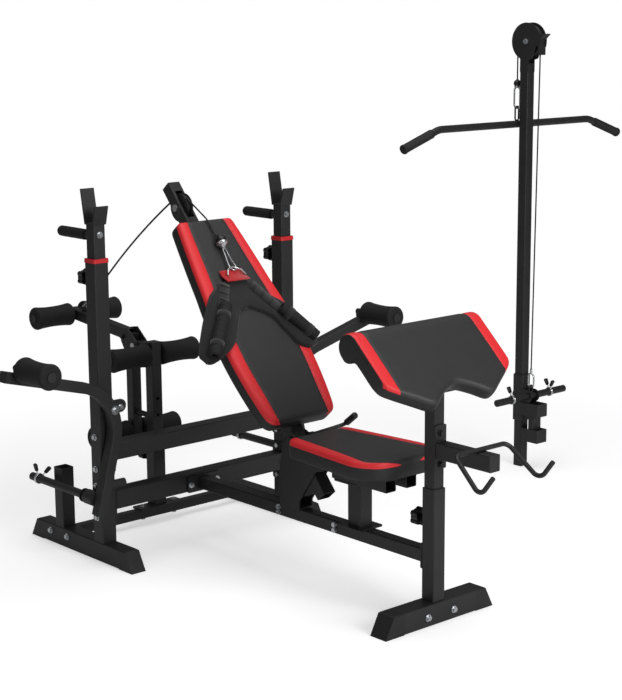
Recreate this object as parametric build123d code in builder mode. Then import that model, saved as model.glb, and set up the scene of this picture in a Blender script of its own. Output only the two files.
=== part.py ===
from build123d import *
import os
from math import asin, atan2, cos, degrees, pi, radians, sin, sqrt, tan

os.makedirs("parts", exist_ok=True)

# Adjustable weight bench with bar racks, arm-fly levers, leg developer,
# preacher pad and a free-standing cable mast. Millimetres, +Z up.
# Origin: middle of the front foot's underside; the bench runs back along -X.

SIDES = (("left", -1), ("right", 1))

# ---------------------------------------------------------------- clearances
slide_gap = 0.3         # a telescoping tube in its bush, each side
pin_gap = 0.05          # radial, a pin or axle in its bore
side_gap = 0.3          # between a turning piece and what stands beside it

# ---------------------------------------------------------------- stock
tube_wall = 2.0
tube_corner = 4.0
plate_thick = 5.0
bolt_radius = 4.0
bolt_head_width = 13.0
bolt_head_height = 6.0
washer_radius = 10.0
washer_thick = 2.0

# ---------------------------------------------------------------- feet
foot_height = 60.0
foot_width = 50.0
side_foot_rear = -1336.0
side_foot_front = -927.0
cap_top_length = 33.0
cap_foot_length = 66.0
front_foot_width = 60.0
front_foot_half = 137.0
front_cap_top = 38.0
front_cap_foot = 69.0
front_bolt_y = 49.5
front_bolt_z = 27.0

# ---------------------------------------------------------------- uprights and racks
upright_x = -1030.0
upright_y = 356.5
upright_size = 50.0
upright_top = 907.0
collar_size = 54.5
collar_height = 12.0
collar_skirt = 30.0
rack_size = 40.0
rack_top = 1018.0
rack_insert = 270.0
rack_hole_pitch = 50.0
rack_hole_count = 4
rack_hole_radius = 5.5
rack_knob_z = 857.0
rack_bolt_z = 989.0
cradle_thick = 5.0
cradle_width = 46.0
cradle_floor_half = 22.0
cradle_rear_height = 102.0
cradle_rear_lean = 18.0
cradle_front_height = 54.0
cradle_front_lean = 14.0
dip_z = 984.0
dip_rod_radius = 11.0
dip_rod_end = 176.0
dip_grip_start = 46.0
dip_grip_end = 185.0
dip_grip_radius = 16.0

# ---------------------------------------------------------------- screw knobs
knob_radius = 24.0
knob_length = 25.0
knob_stand_off = 20.0
knob_lobes = 5
knob_stem_radius = 6.0
knob_nut_radius = 11.0
knob_nut_length = 10.0

# ---------------------------------------------------------------- cross beams
beam_width = 50.0
upper_beam_height = 54.0
upper_beam_z = 336.0
lower_beam_height = 58.0
lower_beam_z = 186.0
flange_bolt_pitch = 98.0
flange_height = 122.0
rear_tube_size = 30.0
rear_tube_x = -1245.0
rear_tube_z = 38.0
rear_bolt_pitch = 91.0
rear_flange_length = 115.0
rear_flange_height = 42.0
socket_size = 45.0
socket_top = 248.0

# ---------------------------------------------------------------- centre beam, seat, bracket
centre_size = 38.0
centre_top = 200.0
centre_flange_width = 126.0
centre_flange_height = 52.0
centre_bolt_pitch = 100.0
splice_bolts_x = (-616.0, -372.0)
splice_bolt_pitch = 16.0
seat_post_x = -288.0
seat_post_size = 50.0
seat_plate_size = 92.0
seat_rail_width = 40.0
seat_rail_height = 45.0
seat_rail_y = 39.0
seat_rail_rear = -340.0
seat_rail_front = -125.0
seat_rail_top = 385.0
seat_pad_thick = 55.0
pad_edge = 11.0         # height of the rounded-over rim of a cushion
seat_pad_rear = -472.0
seat_pad_front = -88.0
seat_pad_rear_half = 118.0
seat_pad_front_half = 146.0

pivot_x = -550.0
pivot_z = 402.0
pivot_radius = 8.0
cheek_thick = 4.0
cheek_boss_radius = 26.0
cheek_rear_x = -603.0
cheek_front_x = -518.0

# ---------------------------------------------------------------- backrest
back_angle = 49.8       # elevation of the spine above the floor
spine_depth = 40.0
spine_width = 45.0
spine_below = 189.0
sector_outer = 165.0
sector_inner = 118.0
sector_sweep = 62.0
sector_hole_radius = 5.5
sector_hole_arc = 143.0
sector_hole_step = 11.0
sector_hole_count = 5
back_pad_thick = 52.0
back_pad_low = 34.0
back_pad_length = 701.0
pulley_past_pad = 92.0
spine_pulley_along = back_pad_low + back_pad_length + pulley_past_pad
spine_above = spine_pulley_along + 82.0
spine_pulley_radius = 44.0
spine_pulley_width = 20.0
pulley_groove = 5.0
pulley_axle_radius = 6.0
lever_rod_radius = 6.0
lever_rod_x = -530.0
lever_rod_z = 414.0
lever_hub_radius = 16.0
lever_hub_length = 14.0

# ---------------------------------------------------------------- pull cable and harness
lever_eye_along = 262.0
eye_rise = 11.0
eye_radius = 11.0
eye_hole_radius = 6.5
pull_ball_drop = 90.0
pull_ball_along = back_pad_low + back_pad_length - pull_ball_drop
pull_ball_radius = 9.5
pull_hook_length = 100.0
lever_hook_length = 58.0
cable_bow = 22.0        # how far the slack rear run stands above its chord
harness_thick = 9.0
harness_reach = 701.0   # from the cushion's head down to the line that the harness is drawn from
harness_line = back_pad_low + back_pad_length - harness_reach
harness_flat_half = 146.0
harness_droop = 20.0

# ---------------------------------------------------------------- preacher pad
post_outer = 45.0
post_inner = 38.0
preacher_post_top = 373.0
preacher_tube_top = 720.0      # before its slanted cut under the pad
preacher_insert = 250.0
preacher_knob_z = 281.0
arm_tube_top = 504.0
arm_tube_height = 45.0
arm_tube_end = 217.0
face_plate_width = 42.0
face_plate_low = 429.0
face_plate_high = 549.0
pad_slope = 43.4        # fall of the arm surface, degrees
pad_top_x = -74.0
pad_top_z = 819.0
pad_length = 262.0
pad_half = 237.0
pad_thick = 44.0
pad_roll_radius = 40.0
pad_seat_down = 143.0
pad_seat_width = 96.0
pad_seat_length = 130.0
pad_notch_depth = 51.0
pad_notch_half = 92.0
catch_radius = 6.5
catch_x = 169.0

# ---------------------------------------------------------------- butterfly arms
arm_pivot_y = 354.0
arm_pivot_z = 475.0
arm_pivot_radius = 6.0
ear_radius = 20.0
ear_bolt_y = 307.5
arm_width = 32.0
arm_depth = 38.0
arm_bend = 140.0
arm_upper_end = (716.0, 626.0)
arm_corner = (314.0, 517.0)
arm_lower_end = (409.0, 160.0)
arm_axle_y = 660.0
arm_axle_z = 641.0
axle_radius = 10.0
roller_radius = 38.0
roller_waist = 33.5
roller_length = 142.0
peg_radius = 12.5
peg_y = 404.0
peg_z = 205.0
peg_end = -1350.0
peg_seam_x = -1303.5        # the moulded end cap's barrel runs from here to the free end
peg_seam = 1.5
peg_collar_radius = 22.2    # rests against the upright with side_gap to spare
peg_collar_end = -1045.0
peg_flange_radius = 21.0
peg_flange_x = -1058.0
clip_x = -1318.0
clip_length = 12.0
arm_buffer_z = 246.0
arm_buffer_radius = 13.0
arm_buffer_length = 54.0

# ---------------------------------------------------------------- leg developer
leg_post_x = -1252.0
leg_post_top = 262.0
leg_base_half = 85.0
leg_base_width = 54.0
leg_base_bolt_y = 62.0
leg_tube_top = 592.0
leg_insert = 150.0
leg_knob_z = 218.0
knee_axle_z = 550.0
leg_pivot_x = -1328.0
leg_pivot_z = 570.0
leg_pivot_radius = 6.0
leg_lug_radius = 14.0
leg_hole_heights = (302.0, 355.0, 408.0)
swing_size = 35.0
swing_x = -1362.0
swing_axle_z = 281.0
swing_stop_z = 345.0
lever_rise = 5.5
lever_start_z = 598.7
lever_length = 328.0
lever_axle_along = 308.0
roller_inner_y = 24.0

# ---------------------------------------------------------------- cable mast
mast_x = -902.0
mast_y = 1373.0
mast_size = 36.0
mast_top = 1438.0
mast_pulley_x = -895.0
mast_pulley_z = 1513.0
mast_pulley_radius = 56.0
mast_pulley_width = 22.0
mast_axle_radius = 8.0
mast_cheek_radius = 64.0
mast_cheek_thick = 4.0
cable_radius = 2.5
ball_radius = 13.0
ball_z = 1368.0
lat_hook_low = 1282.0
carriage_hook_low = 296.0
carriage_hook_top = 362.0
hook_width = 32.0
hook_bar = 6.0
link_width = 24.0
bar_z = 1227.0
bar_radius = 12.5
bar_half = 390.0
bar_wing = 166.0
bar_bend_y = bar_half + bar_wing
bar_bend_z = 1170.0
bar_grip_length = 138.0
bar_grip_radius = 15.5
carriage_low = 170.0
carriage_high = 338.0
carriage_wall = 4.0
spindle_z = 264.0
spindle_radius = 12.5
spindle_half = 180.0
spindle_x = -858.0
spindle_clip_y = 100.0
bracket_end = -803.0
bracket_plates = ((195.0, 241.0, -897.0), (100.0, 147.0, -878.0))      # low, high, rear
link_block_x = -838.0
link_block_depth = 24.0


# ---------------------------------------------------------------- shared profiles
def box_section(width, height, wall=tube_wall, corner=tube_corner):
    # Section of a square or flat-sided tube, drawn in the open sketch.
    RectangleRounded(width, height, corner)
    if wall:
        Rectangle(width - 2 * wall, height - 2 * wall, mode=Mode.SUBTRACT)


def hex_bolt(grip, rim):
    # Hex bolt with its washer on Z = 0, and a shank and nut through the grip below it.
    with BuildPart() as piece:
        with BuildSketch():
            Circle(rim)
        extrude(amount=washer_thick)
        with BuildSketch(Plane.XY.offset(washer_thick)):
            RegularPolygon(bolt_head_width / 2, 6, major_radius=False)
        extrude(amount=bolt_head_height)
        if grip:
            with BuildSketch():
                Circle(bolt_radius)
            extrude(amount=-grip)
            with BuildSketch(Plane.XY.offset(-grip)):
                RegularPolygon(bolt_head_width / 2, 6, major_radius=False)
            extrude(amount=-bolt_head_height)
    return piece.part


def bolt_at(x, y, z, facing, grip=0.0, rim=washer_radius):
    # A bolt whose washer lies on the point, its head facing the given way.
    add(hex_bolt(grip, rim).moved(Location(Plane(origin=(x, y, z), z_dir=facing))))


def roller_profile(length, end_radius, waist, bore):
    # Half outline of a bone-shaped foam roller, axis along local X, drawn in the open sketch.
    half = length / 2
    shoulder = 0.72 * half
    nose = 9.0
    cut = nose * (1 - cos(radians(45)))
    line = Edge.make_line
    arc = Edge.make_three_point_arc
    make_face([
        line((-half, bore), (-half, end_radius - nose)),
        arc((-half, end_radius - nose), (-half + cut, end_radius - cut), (-half + nose, end_radius)),
        line((-half + nose, end_radius), (-shoulder, end_radius)),
        arc((-shoulder, end_radius), (0, waist), (shoulder, end_radius)),
        line((shoulder, end_radius), (half - nose, end_radius)),
        arc((half - nose, end_radius), (half - cut, end_radius - cut), (half, end_radius - nose)),
        line((half, end_radius - nose), (half, bore)),
        line((half, bore), (-half, bore)),
    ])


def pulley_profile(radius, width, bore):
    # Half outline of a grooved cable pulley, axis along local X, drawn in the open sketch.
    half = width / 2
    floor = radius - pulley_groove - 2.5
    Polygon((-half, bore), (half, bore), (half, radius), (half - 3, radius), (3.2, floor),
            (-3.2, floor), (-half + 3, radius), (-half, radius), align=None)


# ================================================================ frame
for side, sign in SIDES:
    foot_y = sign * upright_y
    with BuildPart() as side_foot:
        with BuildSketch(Plane.YZ.offset(side_foot_rear)):
            with Locations((foot_y, foot_height / 2)):
                box_section(foot_width, foot_height)
        extrude(amount=side_foot_front - side_foot_rear)
        with BuildSketch(Plane.XZ.offset(-foot_y)):
            with Locations(*[(rear_tube_x + step * rear_bolt_pitch / 2, rear_tube_z) for step in (-1, 1)]):
                Circle(bolt_radius + slide_gap)
        extrude(amount=foot_width, both=True, mode=Mode.SUBTRACT)
    side_foot.part.label = f"side_foot_{side}"
    export_step(side_foot.part, f"parts/side_foot_{side}.step")

    upright_bolts = [beam_z + step * flange_bolt_pitch / 2
                     for beam_z in (upper_beam_z, lower_beam_z) for step in (-1, 1)]
    with BuildPart() as upright:
        with BuildSketch(Plane.XY.offset(foot_height)):
            with Locations((upright_x, foot_y)):
                box_section(upright_size, upright_size)
        extrude(amount=upright_top - foot_height)
        with BuildSketch(Plane.XZ.offset(-foot_y)):
            with Locations(*[(upright_x, height) for height in upright_bolts]):
                Circle(bolt_radius + slide_gap)
        extrude(amount=upright_size, both=True, mode=Mode.SUBTRACT)
        with BuildSketch(Plane.YZ.offset(upright_x + upright_size / 2)):
            with Locations((sign * (upright_y - 12), arm_pivot_z)):
                Rectangle(upright_size + 24, 2 * ear_radius)
            with Locations((sign * ear_bolt_y, arm_pivot_z)):
                Circle(ear_radius)
        extrude(amount=plate_thick)
        ear_face = upright_x + upright_size / 2 + plate_thick
        stud_end = ear_face + arm_depth + 2 * side_gap
        with BuildSketch(Plane.YZ.offset(ear_face - plate_thick)):
            with Locations((sign * arm_pivot_y, arm_pivot_z)):
                Circle(arm_pivot_radius)
        extrude(amount=plate_thick + stud_end - ear_face)
        bolt_at(stud_end, sign * arm_pivot_y, arm_pivot_z, (1, 0, 0), rim=14)
        bolt_at(ear_face, sign * ear_bolt_y, arm_pivot_z - 4, (1, 0, 0), rim=9)
        nut_face = upright_x - upright_size / 2
        with BuildSketch(Plane.YZ.offset(nut_face)):
            with Locations((foot_y, rack_knob_z)):
                Circle(knob_nut_radius)
        extrude(amount=-knob_nut_length)
        with BuildSketch(Plane.YZ.offset(nut_face - knob_nut_length)):
            with Locations((foot_y, rack_knob_z)):
                Circle(knob_stem_radius + pin_gap)
        extrude(amount=knob_nut_length + 2 * tube_wall, mode=Mode.SUBTRACT)
    upright.part.label = f"upright_{side}"
    export_step(upright.part, f"parts/upright_{side}.step")

with BuildPart() as foot_caps:
    for sign in (-1, 1):
        with BuildSketch(Plane.XZ.offset(-sign * upright_y - foot_width / 2)):
            with BuildLine():
                Polyline((side_foot_rear, 0), (side_foot_rear - cap_foot_length, 0),
                         (side_foot_rear - cap_top_length, foot_height), (side_foot_rear, foot_height),
                         close=True)
            make_face()
            with BuildLine():
                Polyline((side_foot_front, 0), (side_foot_front + cap_foot_length, 0),
                         (side_foot_front + cap_top_length, foot_height), (side_foot_front, foot_height),
                         close=True)
            make_face()
        extrude(amount=foot_width)
    for sign in (-1, 1):
        with BuildSketch(Plane.YZ.offset(-front_foot_width / 2)):
            with BuildLine():
                Polyline((sign * front_foot_half, 0), (sign * (front_foot_half + front_cap_foot), 0),
                         (sign * (front_foot_half + front_cap_top), foot_height),
                         (sign * front_foot_half, foot_height), close=True)
            make_face()
        extrude(amount=front_foot_width)
    top_edges = foot_caps.edges().filter_by_position(Axis.Z, foot_height - 0.1, foot_height + 0.1)
    outer_edges = [edge for edge in top_edges
                   if edge.length < front_foot_width + 1 and not (
                       abs(edge.center().X - side_foot_rear) < 0.1
                       or abs(edge.center().X - side_foot_front) < 0.1
                       or abs(abs(edge.center().Y) - front_foot_half) < 0.1)]
    chamfer(outer_edges, 3)
foot_caps.part.label = "foot_caps"
export_step(foot_caps.part, "parts/foot_caps.step")

collar_bore = rack_size + 2 * slide_gap
with BuildPart() as upright_collars:
    for sign in (-1, 1):
        with BuildSketch(Plane.XY.offset(upright_top)):
            with Locations((upright_x, sign * upright_y)):
                RectangleRounded(collar_size, collar_size, 6)
                Rectangle(collar_bore, collar_bore, mode=Mode.SUBTRACT)
        extrude(amount=collar_height, taper=4)
        skirt_size = upright_size - 2 * tube_wall - 2 * slide_gap
        with BuildSketch(Plane.XY.offset(upright_top)):
            with Locations((upright_x, sign * upright_y)):
                Rectangle(skirt_size, skirt_size)
                Rectangle(collar_bore, collar_bore, mode=Mode.SUBTRACT)
        extrude(amount=-collar_skirt)
upright_collars.part.label = "upright_collars"
export_step(upright_collars.part, "parts/upright_collars.step")

beam_half = upright_y - upright_size / 2
for label, beam_z, beam_height in (("upper_cross_beam", upper_beam_z, upper_beam_height),
                                   ("lower_cross_beam", lower_beam_z, lower_beam_height)):
    with BuildPart() as cross_beam:
        with BuildSketch(Plane.XZ.offset(-(beam_half - plate_thick))):
            with Locations((upright_x, beam_z)):
                box_section(beam_width, beam_height)
        extrude(amount=2 * (beam_half - plate_thick))
        for sign in (-1, 1):
            with BuildSketch(Plane.XZ.offset(-sign * (beam_half - plate_thick))):
                with Locations((upright_x, beam_z)):
                    RectangleRounded(beam_width - 3, flange_height, 5)
                with Locations((upright_x, beam_z - flange_bolt_pitch / 2),
                               (upright_x, beam_z + flange_bolt_pitch / 2)):
                    Circle(bolt_radius + slide_gap, mode=Mode.SUBTRACT)
            extrude(amount=-sign * plate_thick)
        if beam_z == lower_beam_z:
            with BuildSketch(Plane.YZ.offset(upright_x)):
                with Locations((-centre_bolt_pitch / 2, centre_top - centre_size / 2),
                               (centre_bolt_pitch / 2, centre_top - centre_size / 2)):
                    Circle(bolt_radius + slide_gap)
            extrude(amount=beam_width, both=True, mode=Mode.SUBTRACT)
    cross_beam.part.label = label
    export_step(cross_beam.part, f"parts/{label}.step")

rear_half = upright_y - foot_width / 2
with BuildPart() as rear_cross_tube:
    with BuildSketch(Plane.XZ.offset(-(rear_half - plate_thick))):
        with Locations((rear_tube_x, rear_tube_z)):
            box_section(rear_tube_size, rear_tube_size, corner=3)
    extrude(amount=2 * (rear_half - plate_thick))
    for sign in (-1, 1):
        with BuildSketch(Plane.XZ.offset(-sign * (rear_half - plate_thick))):
            with Locations((rear_tube_x, rear_tube_z)):
                RectangleRounded(rear_flange_length, rear_flange_height, 5)
            with Locations((rear_tube_x - rear_bolt_pitch / 2, rear_tube_z),
                           (rear_tube_x + rear_bolt_pitch / 2, rear_tube_z)):
                Circle(bolt_radius + slide_gap, mode=Mode.SUBTRACT)
        extrude(amount=-sign * plate_thick)
    with BuildSketch():
        with Locations((rear_tube_x, -leg_base_bolt_y), (rear_tube_x, leg_base_bolt_y)):
            Circle(bolt_radius + slide_gap)
    extrude(amount=2 * rear_tube_z, mode=Mode.SUBTRACT)
rear_cross_tube.part.label = "rear_cross_tube"
export_step(rear_cross_tube.part, "parts/rear_cross_tube.step")

with BuildPart() as storage_socket:
    with BuildSketch(Plane.XY.offset(foot_height)):
        with Locations((rear_tube_x, -upright_y)):
            box_section(socket_size, socket_size)
    extrude(amount=socket_top - foot_height)
storage_socket.part.label = "storage_socket"
export_step(storage_socket.part, "parts/storage_socket.step")

# ================================================================ centre beam and front foot
centre_z = centre_top - centre_size / 2
centre_rear = upright_x + beam_width / 2
centre_front = -post_outer / 2
with BuildPart() as centre_beam:
    with BuildSketch(Plane.YZ.offset(centre_rear + plate_thick)):
        with Locations((0, centre_z)):
            box_section(centre_size, centre_size)
    extrude(amount=centre_front - centre_rear - 2 * plate_thick)
    with BuildSketch(Plane.YZ.offset(centre_rear)):
        with Locations((0, centre_z)):
            RectangleRounded(centre_flange_width, centre_flange_height, 6)
        with Locations((-centre_bolt_pitch / 2, centre_z), (centre_bolt_pitch / 2, centre_z)):
            Circle(bolt_radius + slide_gap, mode=Mode.SUBTRACT)
    extrude(amount=plate_thick)
    with BuildSketch(Plane.YZ.offset(centre_front)):
        with Locations((0, centre_z)):
            RectangleRounded(post_outer, 1.9 * centre_size, 5)
    extrude(amount=-plate_thick)
    with BuildSketch(Plane.XZ.offset(-centre_size)):
        for splice_x in splice_bolts_x:
            with Locations((splice_x, centre_z - splice_bolt_pitch / 2),
                           (splice_x, centre_z + splice_bolt_pitch / 2)):
                Circle(bolt_radius + slide_gap)
    extrude(amount=2 * centre_size, mode=Mode.SUBTRACT)
centre_beam.part.label = "centre_beam"
export_step(centre_beam.part, "parts/centre_beam.step")

with BuildPart() as front_foot:
    with BuildSketch(Plane.XZ.offset(-front_foot_half)):
        with Locations((0, foot_height / 2)):
            box_section(front_foot_width, foot_height)
    extrude(amount=2 * front_foot_half)
    with BuildSketch(Plane.YZ.offset(-front_foot_width)):
        with Locations((-front_bolt_y, front_bolt_z), (front_bolt_y, front_bolt_z)):
            Circle(bolt_radius + slide_gap)
    extrude(amount=2 * front_foot_width, mode=Mode.SUBTRACT)
front_foot.part.label = "front_foot"
export_step(front_foot.part, "parts/front_foot.step")

post_wall = (post_outer - post_inner) / 2 - slide_gap
with BuildPart() as preacher_post:
    with BuildSketch(Plane.XY.offset(foot_height)):
        box_section(post_outer, post_outer, wall=post_wall)
    extrude(amount=preacher_post_top - foot_height)
    with BuildSketch(Plane.YZ.offset(-post_outer / 2)):
        with Locations((0, preacher_knob_z)):
            Circle(knob_nut_radius)
    extrude(amount=-knob_nut_length)
    with BuildSketch(Plane.YZ.offset(-post_outer / 2 - knob_nut_length)):
        with Locations((0, preacher_knob_z)):
            Circle(knob_stem_radius + pin_gap)
    extrude(amount=knob_nut_length + 2 * post_wall, mode=Mode.SUBTRACT)
preacher_post.part.label = "preacher_post"
export_step(preacher_post.part, "parts/preacher_post.step")

# ================================================================ seat
rail_low = seat_rail_top - seat_rail_height
with BuildPart() as seat_frame:
    with BuildSketch(Plane.XY.offset(centre_top)):
        with Locations((seat_post_x, 0)):
            RectangleRounded(seat_plate_size, seat_plate_size, 6)
    extrude(amount=plate_thick)
    with BuildSketch(Plane.XY.offset(centre_top + plate_thick)):
        with Locations((seat_post_x, 0)):
            box_section(seat_post_size, seat_post_size)
    extrude(amount=rail_low - centre_top - 2 * plate_thick)
    with BuildSketch(Plane.XY.offset(rail_low)):
        with Locations((seat_post_x, 0)):
            RectangleRounded(seat_plate_size, 2 * seat_rail_y + seat_rail_width, 6)
    extrude(amount=-plate_thick)
    for sign in (-1, 1):
        with BuildSketch(Plane.YZ.offset(seat_rail_rear)):
            with Locations((sign * seat_rail_y, rail_low + seat_rail_height / 2)):
                box_section(seat_rail_width, seat_rail_height)
        extrude(amount=seat_rail_front - seat_rail_rear)
seat_frame.part.label = "seat_frame"
export_step(seat_frame.part, "parts/seat_frame.step")

with BuildPart() as seat_pad:
    with BuildSketch(Plane.XY.offset(seat_rail_top)):
        with BuildLine():
            rear = Line((seat_pad_rear, -seat_pad_rear_half + 30), (seat_pad_rear, seat_pad_rear_half - 30))
            rear_left = ThreePointArc(rear @ 1, (seat_pad_rear + 9, seat_pad_rear_half - 9),
                                      (seat_pad_rear + 30, seat_pad_rear_half))
            flank = Line(rear_left @ 1, (seat_pad_front - 90, seat_pad_front_half))
            nose = ThreePointArc(flank @ 1, (seat_pad_front - 14, seat_pad_front_half - 36),
                                 (seat_pad_front, seat_pad_front_half - 100))
            Line(nose @ 1, (seat_pad_front, -seat_pad_front_half + 100))
            far_nose = ThreePointArc((seat_pad_front, -seat_pad_front_half + 100),
                                     (seat_pad_front - 14, -seat_pad_front_half + 36),
                                     (seat_pad_front - 90, -seat_pad_front_half))
            Line(far_nose @ 1, (seat_pad_rear + 30, -seat_pad_rear_half))
            ThreePointArc((seat_pad_rear + 30, -seat_pad_rear_half),
                          (seat_pad_rear + 9, -seat_pad_rear_half + 9), rear @ 0)
        make_face()
    extrude(amount=seat_pad_thick)
    chamfer(seat_pad.faces().sort_by(Axis.Z)[-1].edges(), pad_edge - 2)
seat_pad.part.label = "seat_pad"
export_step(seat_pad.part, "parts/seat_pad.step")

# ================================================================ backrest
cheek_inner = spine_width / 2 + side_gap
cheek_outer = cheek_inner + cheek_thick
with BuildPart() as backrest_bracket:
    with BuildSketch(Plane.XY.offset(centre_top)):
        with Locations(((cheek_rear_x + cheek_front_x) / 2, 0)):
            Rectangle(cheek_front_x - cheek_rear_x, 2 * cheek_outer)
    extrude(amount=plate_thick)
    for sign in (-1, 1):
        inner_plane = Plane(origin=(0, sign * cheek_inner, 0), x_dir=(1, 0, 0), z_dir=(0, -1, 0))
        with BuildSketch(inner_plane):
            with BuildLine():
                Polyline((cheek_rear_x, centre_top), (cheek_front_x, centre_top),
                         (cheek_front_x, 225), (-445, 330), (-412, 338), (-412, 364),
                         (-500, 374), (pivot_x, pivot_z), (-576, 396), (cheek_rear_x, 330), close=True)
            make_face()
            with Locations((pivot_x, pivot_z)):
                Circle(cheek_boss_radius)
        extrude(amount=-sign * cheek_thick)
    with BuildSketch(Plane.XZ.offset(-cheek_outer)):
        with Locations((pivot_x, pivot_z)):
            Circle(pivot_radius)
    extrude(amount=2 * cheek_outer)
    hub_end = cheek_outer + side_gap + lever_hub_length + side_gap
    with BuildSketch(Plane.XZ.offset(-cheek_outer)):
        with Locations((pivot_x, pivot_z)):
            Circle(pivot_radius)
    extrude(amount=-(hub_end - cheek_outer))
    with BuildSketch(Plane.XZ.offset(-hub_end)):
        with Locations((pivot_x, pivot_z)):
            RegularPolygon(13, 6)
    extrude(amount=-bolt_head_height)
    with BuildSketch(Plane.XZ.offset(cheek_outer)):
        with Locations((pivot_x, pivot_z)):
            RegularPolygon(13, 6)
    extrude(amount=bolt_head_height)
backrest_bracket.part.label = "backrest_bracket"
export_step(backrest_bracket.part, "parts/backrest_bracket.step")

slope = radians(back_angle)
along = Vector(-cos(slope), 0, sin(slope))      # up the spine
outward = Vector(sin(slope), 0, cos(slope))     # out of the cushion
pivot = Vector(pivot_x, 0, pivot_z)


def back_side(y):
    # Local x up the spine, local y out of the cushion, extrusion along +Y.
    return Plane(origin=pivot + Vector(0, y, 0), x_dir=along, z_dir=(0, 1, 0))


def back_face(offset):
    # Local x along +Y, local y up the spine, extrusion out of the cushion.
    return Plane(origin=pivot + outward * offset, x_dir=(0, 1, 0), z_dir=outward)


spine_end = Plane(origin=pivot - along * spine_below, x_dir=(0, 1, 0), z_dir=along)
with BuildPart() as backrest_spine:
    with BuildSketch(spine_end):
        box_section(spine_width, spine_depth)
    extrude(amount=spine_above + spine_below)
    with BuildSketch(spine_end.offset(spine_above + spine_below)):
        RectangleRounded(spine_width, spine_depth, tube_corner)
    extrude(amount=-4)
    for sign in (-1, 1):
        with BuildSketch(back_side(sign * spine_width / 2)):
            with BuildLine():
                first = (-sector_outer, 0)
                last = (-sector_outer * cos(radians(sector_sweep)), -sector_outer * sin(radians(sector_sweep)))
                middle = (-sector_outer * cos(radians(sector_sweep / 2)),
                          -sector_outer * sin(radians(sector_sweep / 2)))
                ThreePointArc(first, middle, last)
                inner_last = (-sector_inner * cos(radians(sector_sweep)),
                              -sector_inner * sin(radians(sector_sweep)))
                inner_middle = (-sector_inner * cos(radians(sector_sweep / 2)),
                                -sector_inner * sin(radians(sector_sweep / 2)))
                Line(last, inner_last)
                ThreePointArc(inner_last, inner_middle, (-sector_inner, 0))
                Line((-sector_inner, 0), first)
            make_face()
        extrude(amount=-sign * cheek_thick)
    with BuildSketch(back_side(-spine_width)):
        for step in range(sector_hole_count):
            turn = radians(17.2 + sector_hole_step * step)
            with Locations((-sector_hole_arc * cos(turn), -sector_hole_arc * sin(turn))):
                Circle(sector_hole_radius)
        with Locations((0, 0)):
            Circle(pivot_radius + pin_gap)
    extrude(amount=2 * spine_width, mode=Mode.SUBTRACT)
    with BuildSketch(back_face(0)):
        with Locations((0, spine_pulley_along)):
            Rectangle(spine_pulley_width + 6, 2 * spine_pulley_radius + 10)
    extrude(amount=spine_depth, both=True, mode=Mode.SUBTRACT)
    with BuildSketch(back_side(-spine_width / 2 - bolt_head_height)):
        with Locations((spine_pulley_along, 0)):
            Circle(pulley_axle_radius)
    extrude(amount=spine_width + 2 * bolt_head_height)
    for sign in (-1, 1):
        with BuildSketch(back_side(sign * spine_width / 2)):
            with Locations((spine_pulley_along, 0)):
                RegularPolygon(12, 6)
        extrude(amount=sign * bolt_head_height)
        with BuildSketch(back_side(sign * (spine_pulley_width / 2 + side_gap))):
            with Locations((spine_pulley_along, 0)):
                Circle(pulley_axle_radius + 4)
        extrude(amount=sign * (spine_width / 2 - spine_pulley_width / 2 - side_gap - tube_wall / 2))
backrest_spine.part.label = "backrest_spine"
export_step(backrest_spine.part, "parts/backrest_spine.step")

with BuildPart() as backrest_pad:
    with BuildSketch(back_face(spine_depth / 2)):
        low = back_pad_low
        top = back_pad_low + back_pad_length
        with BuildLine() as outline:
            foot_edge = Line((0, low), (100, low))
            corner = ThreePointArc(foot_edge @ 1, (118, low + 8), (131, low + 33))
            hip = ThreePointArc(corner @ 1, (151, low + 205), (134, top - 249))
            flank = ThreePointArc(hip @ 1, (120, top - 121), (106, top - 18))
            crown = ThreePointArc(flank @ 1, (100, top - 5), (86, top))
            Line(crown @ 1, (0, top))
            mirror(about=Plane.YZ)
        make_face()
    extrude(amount=back_pad_thick - pad_edge)
    extrude(backrest_pad.faces().sort_by(Axis(pivot, outward))[-1], amount=pad_edge, taper=40)
backrest_pad.part.label = "backrest_pad"
export_step(backrest_pad.part, "parts/backrest_pad.step")

with BuildPart() as spine_pulley:
    with BuildSketch(Plane(origin=pivot + along * spine_pulley_along, x_dir=(0, 1, 0), z_dir=outward)):
        pulley_profile(spine_pulley_radius, spine_pulley_width, pulley_axle_radius + pin_gap)
    revolve(axis=Axis(pivot + along * spine_pulley_along, (0, 1, 0)))
spine_pulley.part.label = "spine_pulley"
export_step(spine_pulley.part, "parts/spine_pulley.step")

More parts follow.
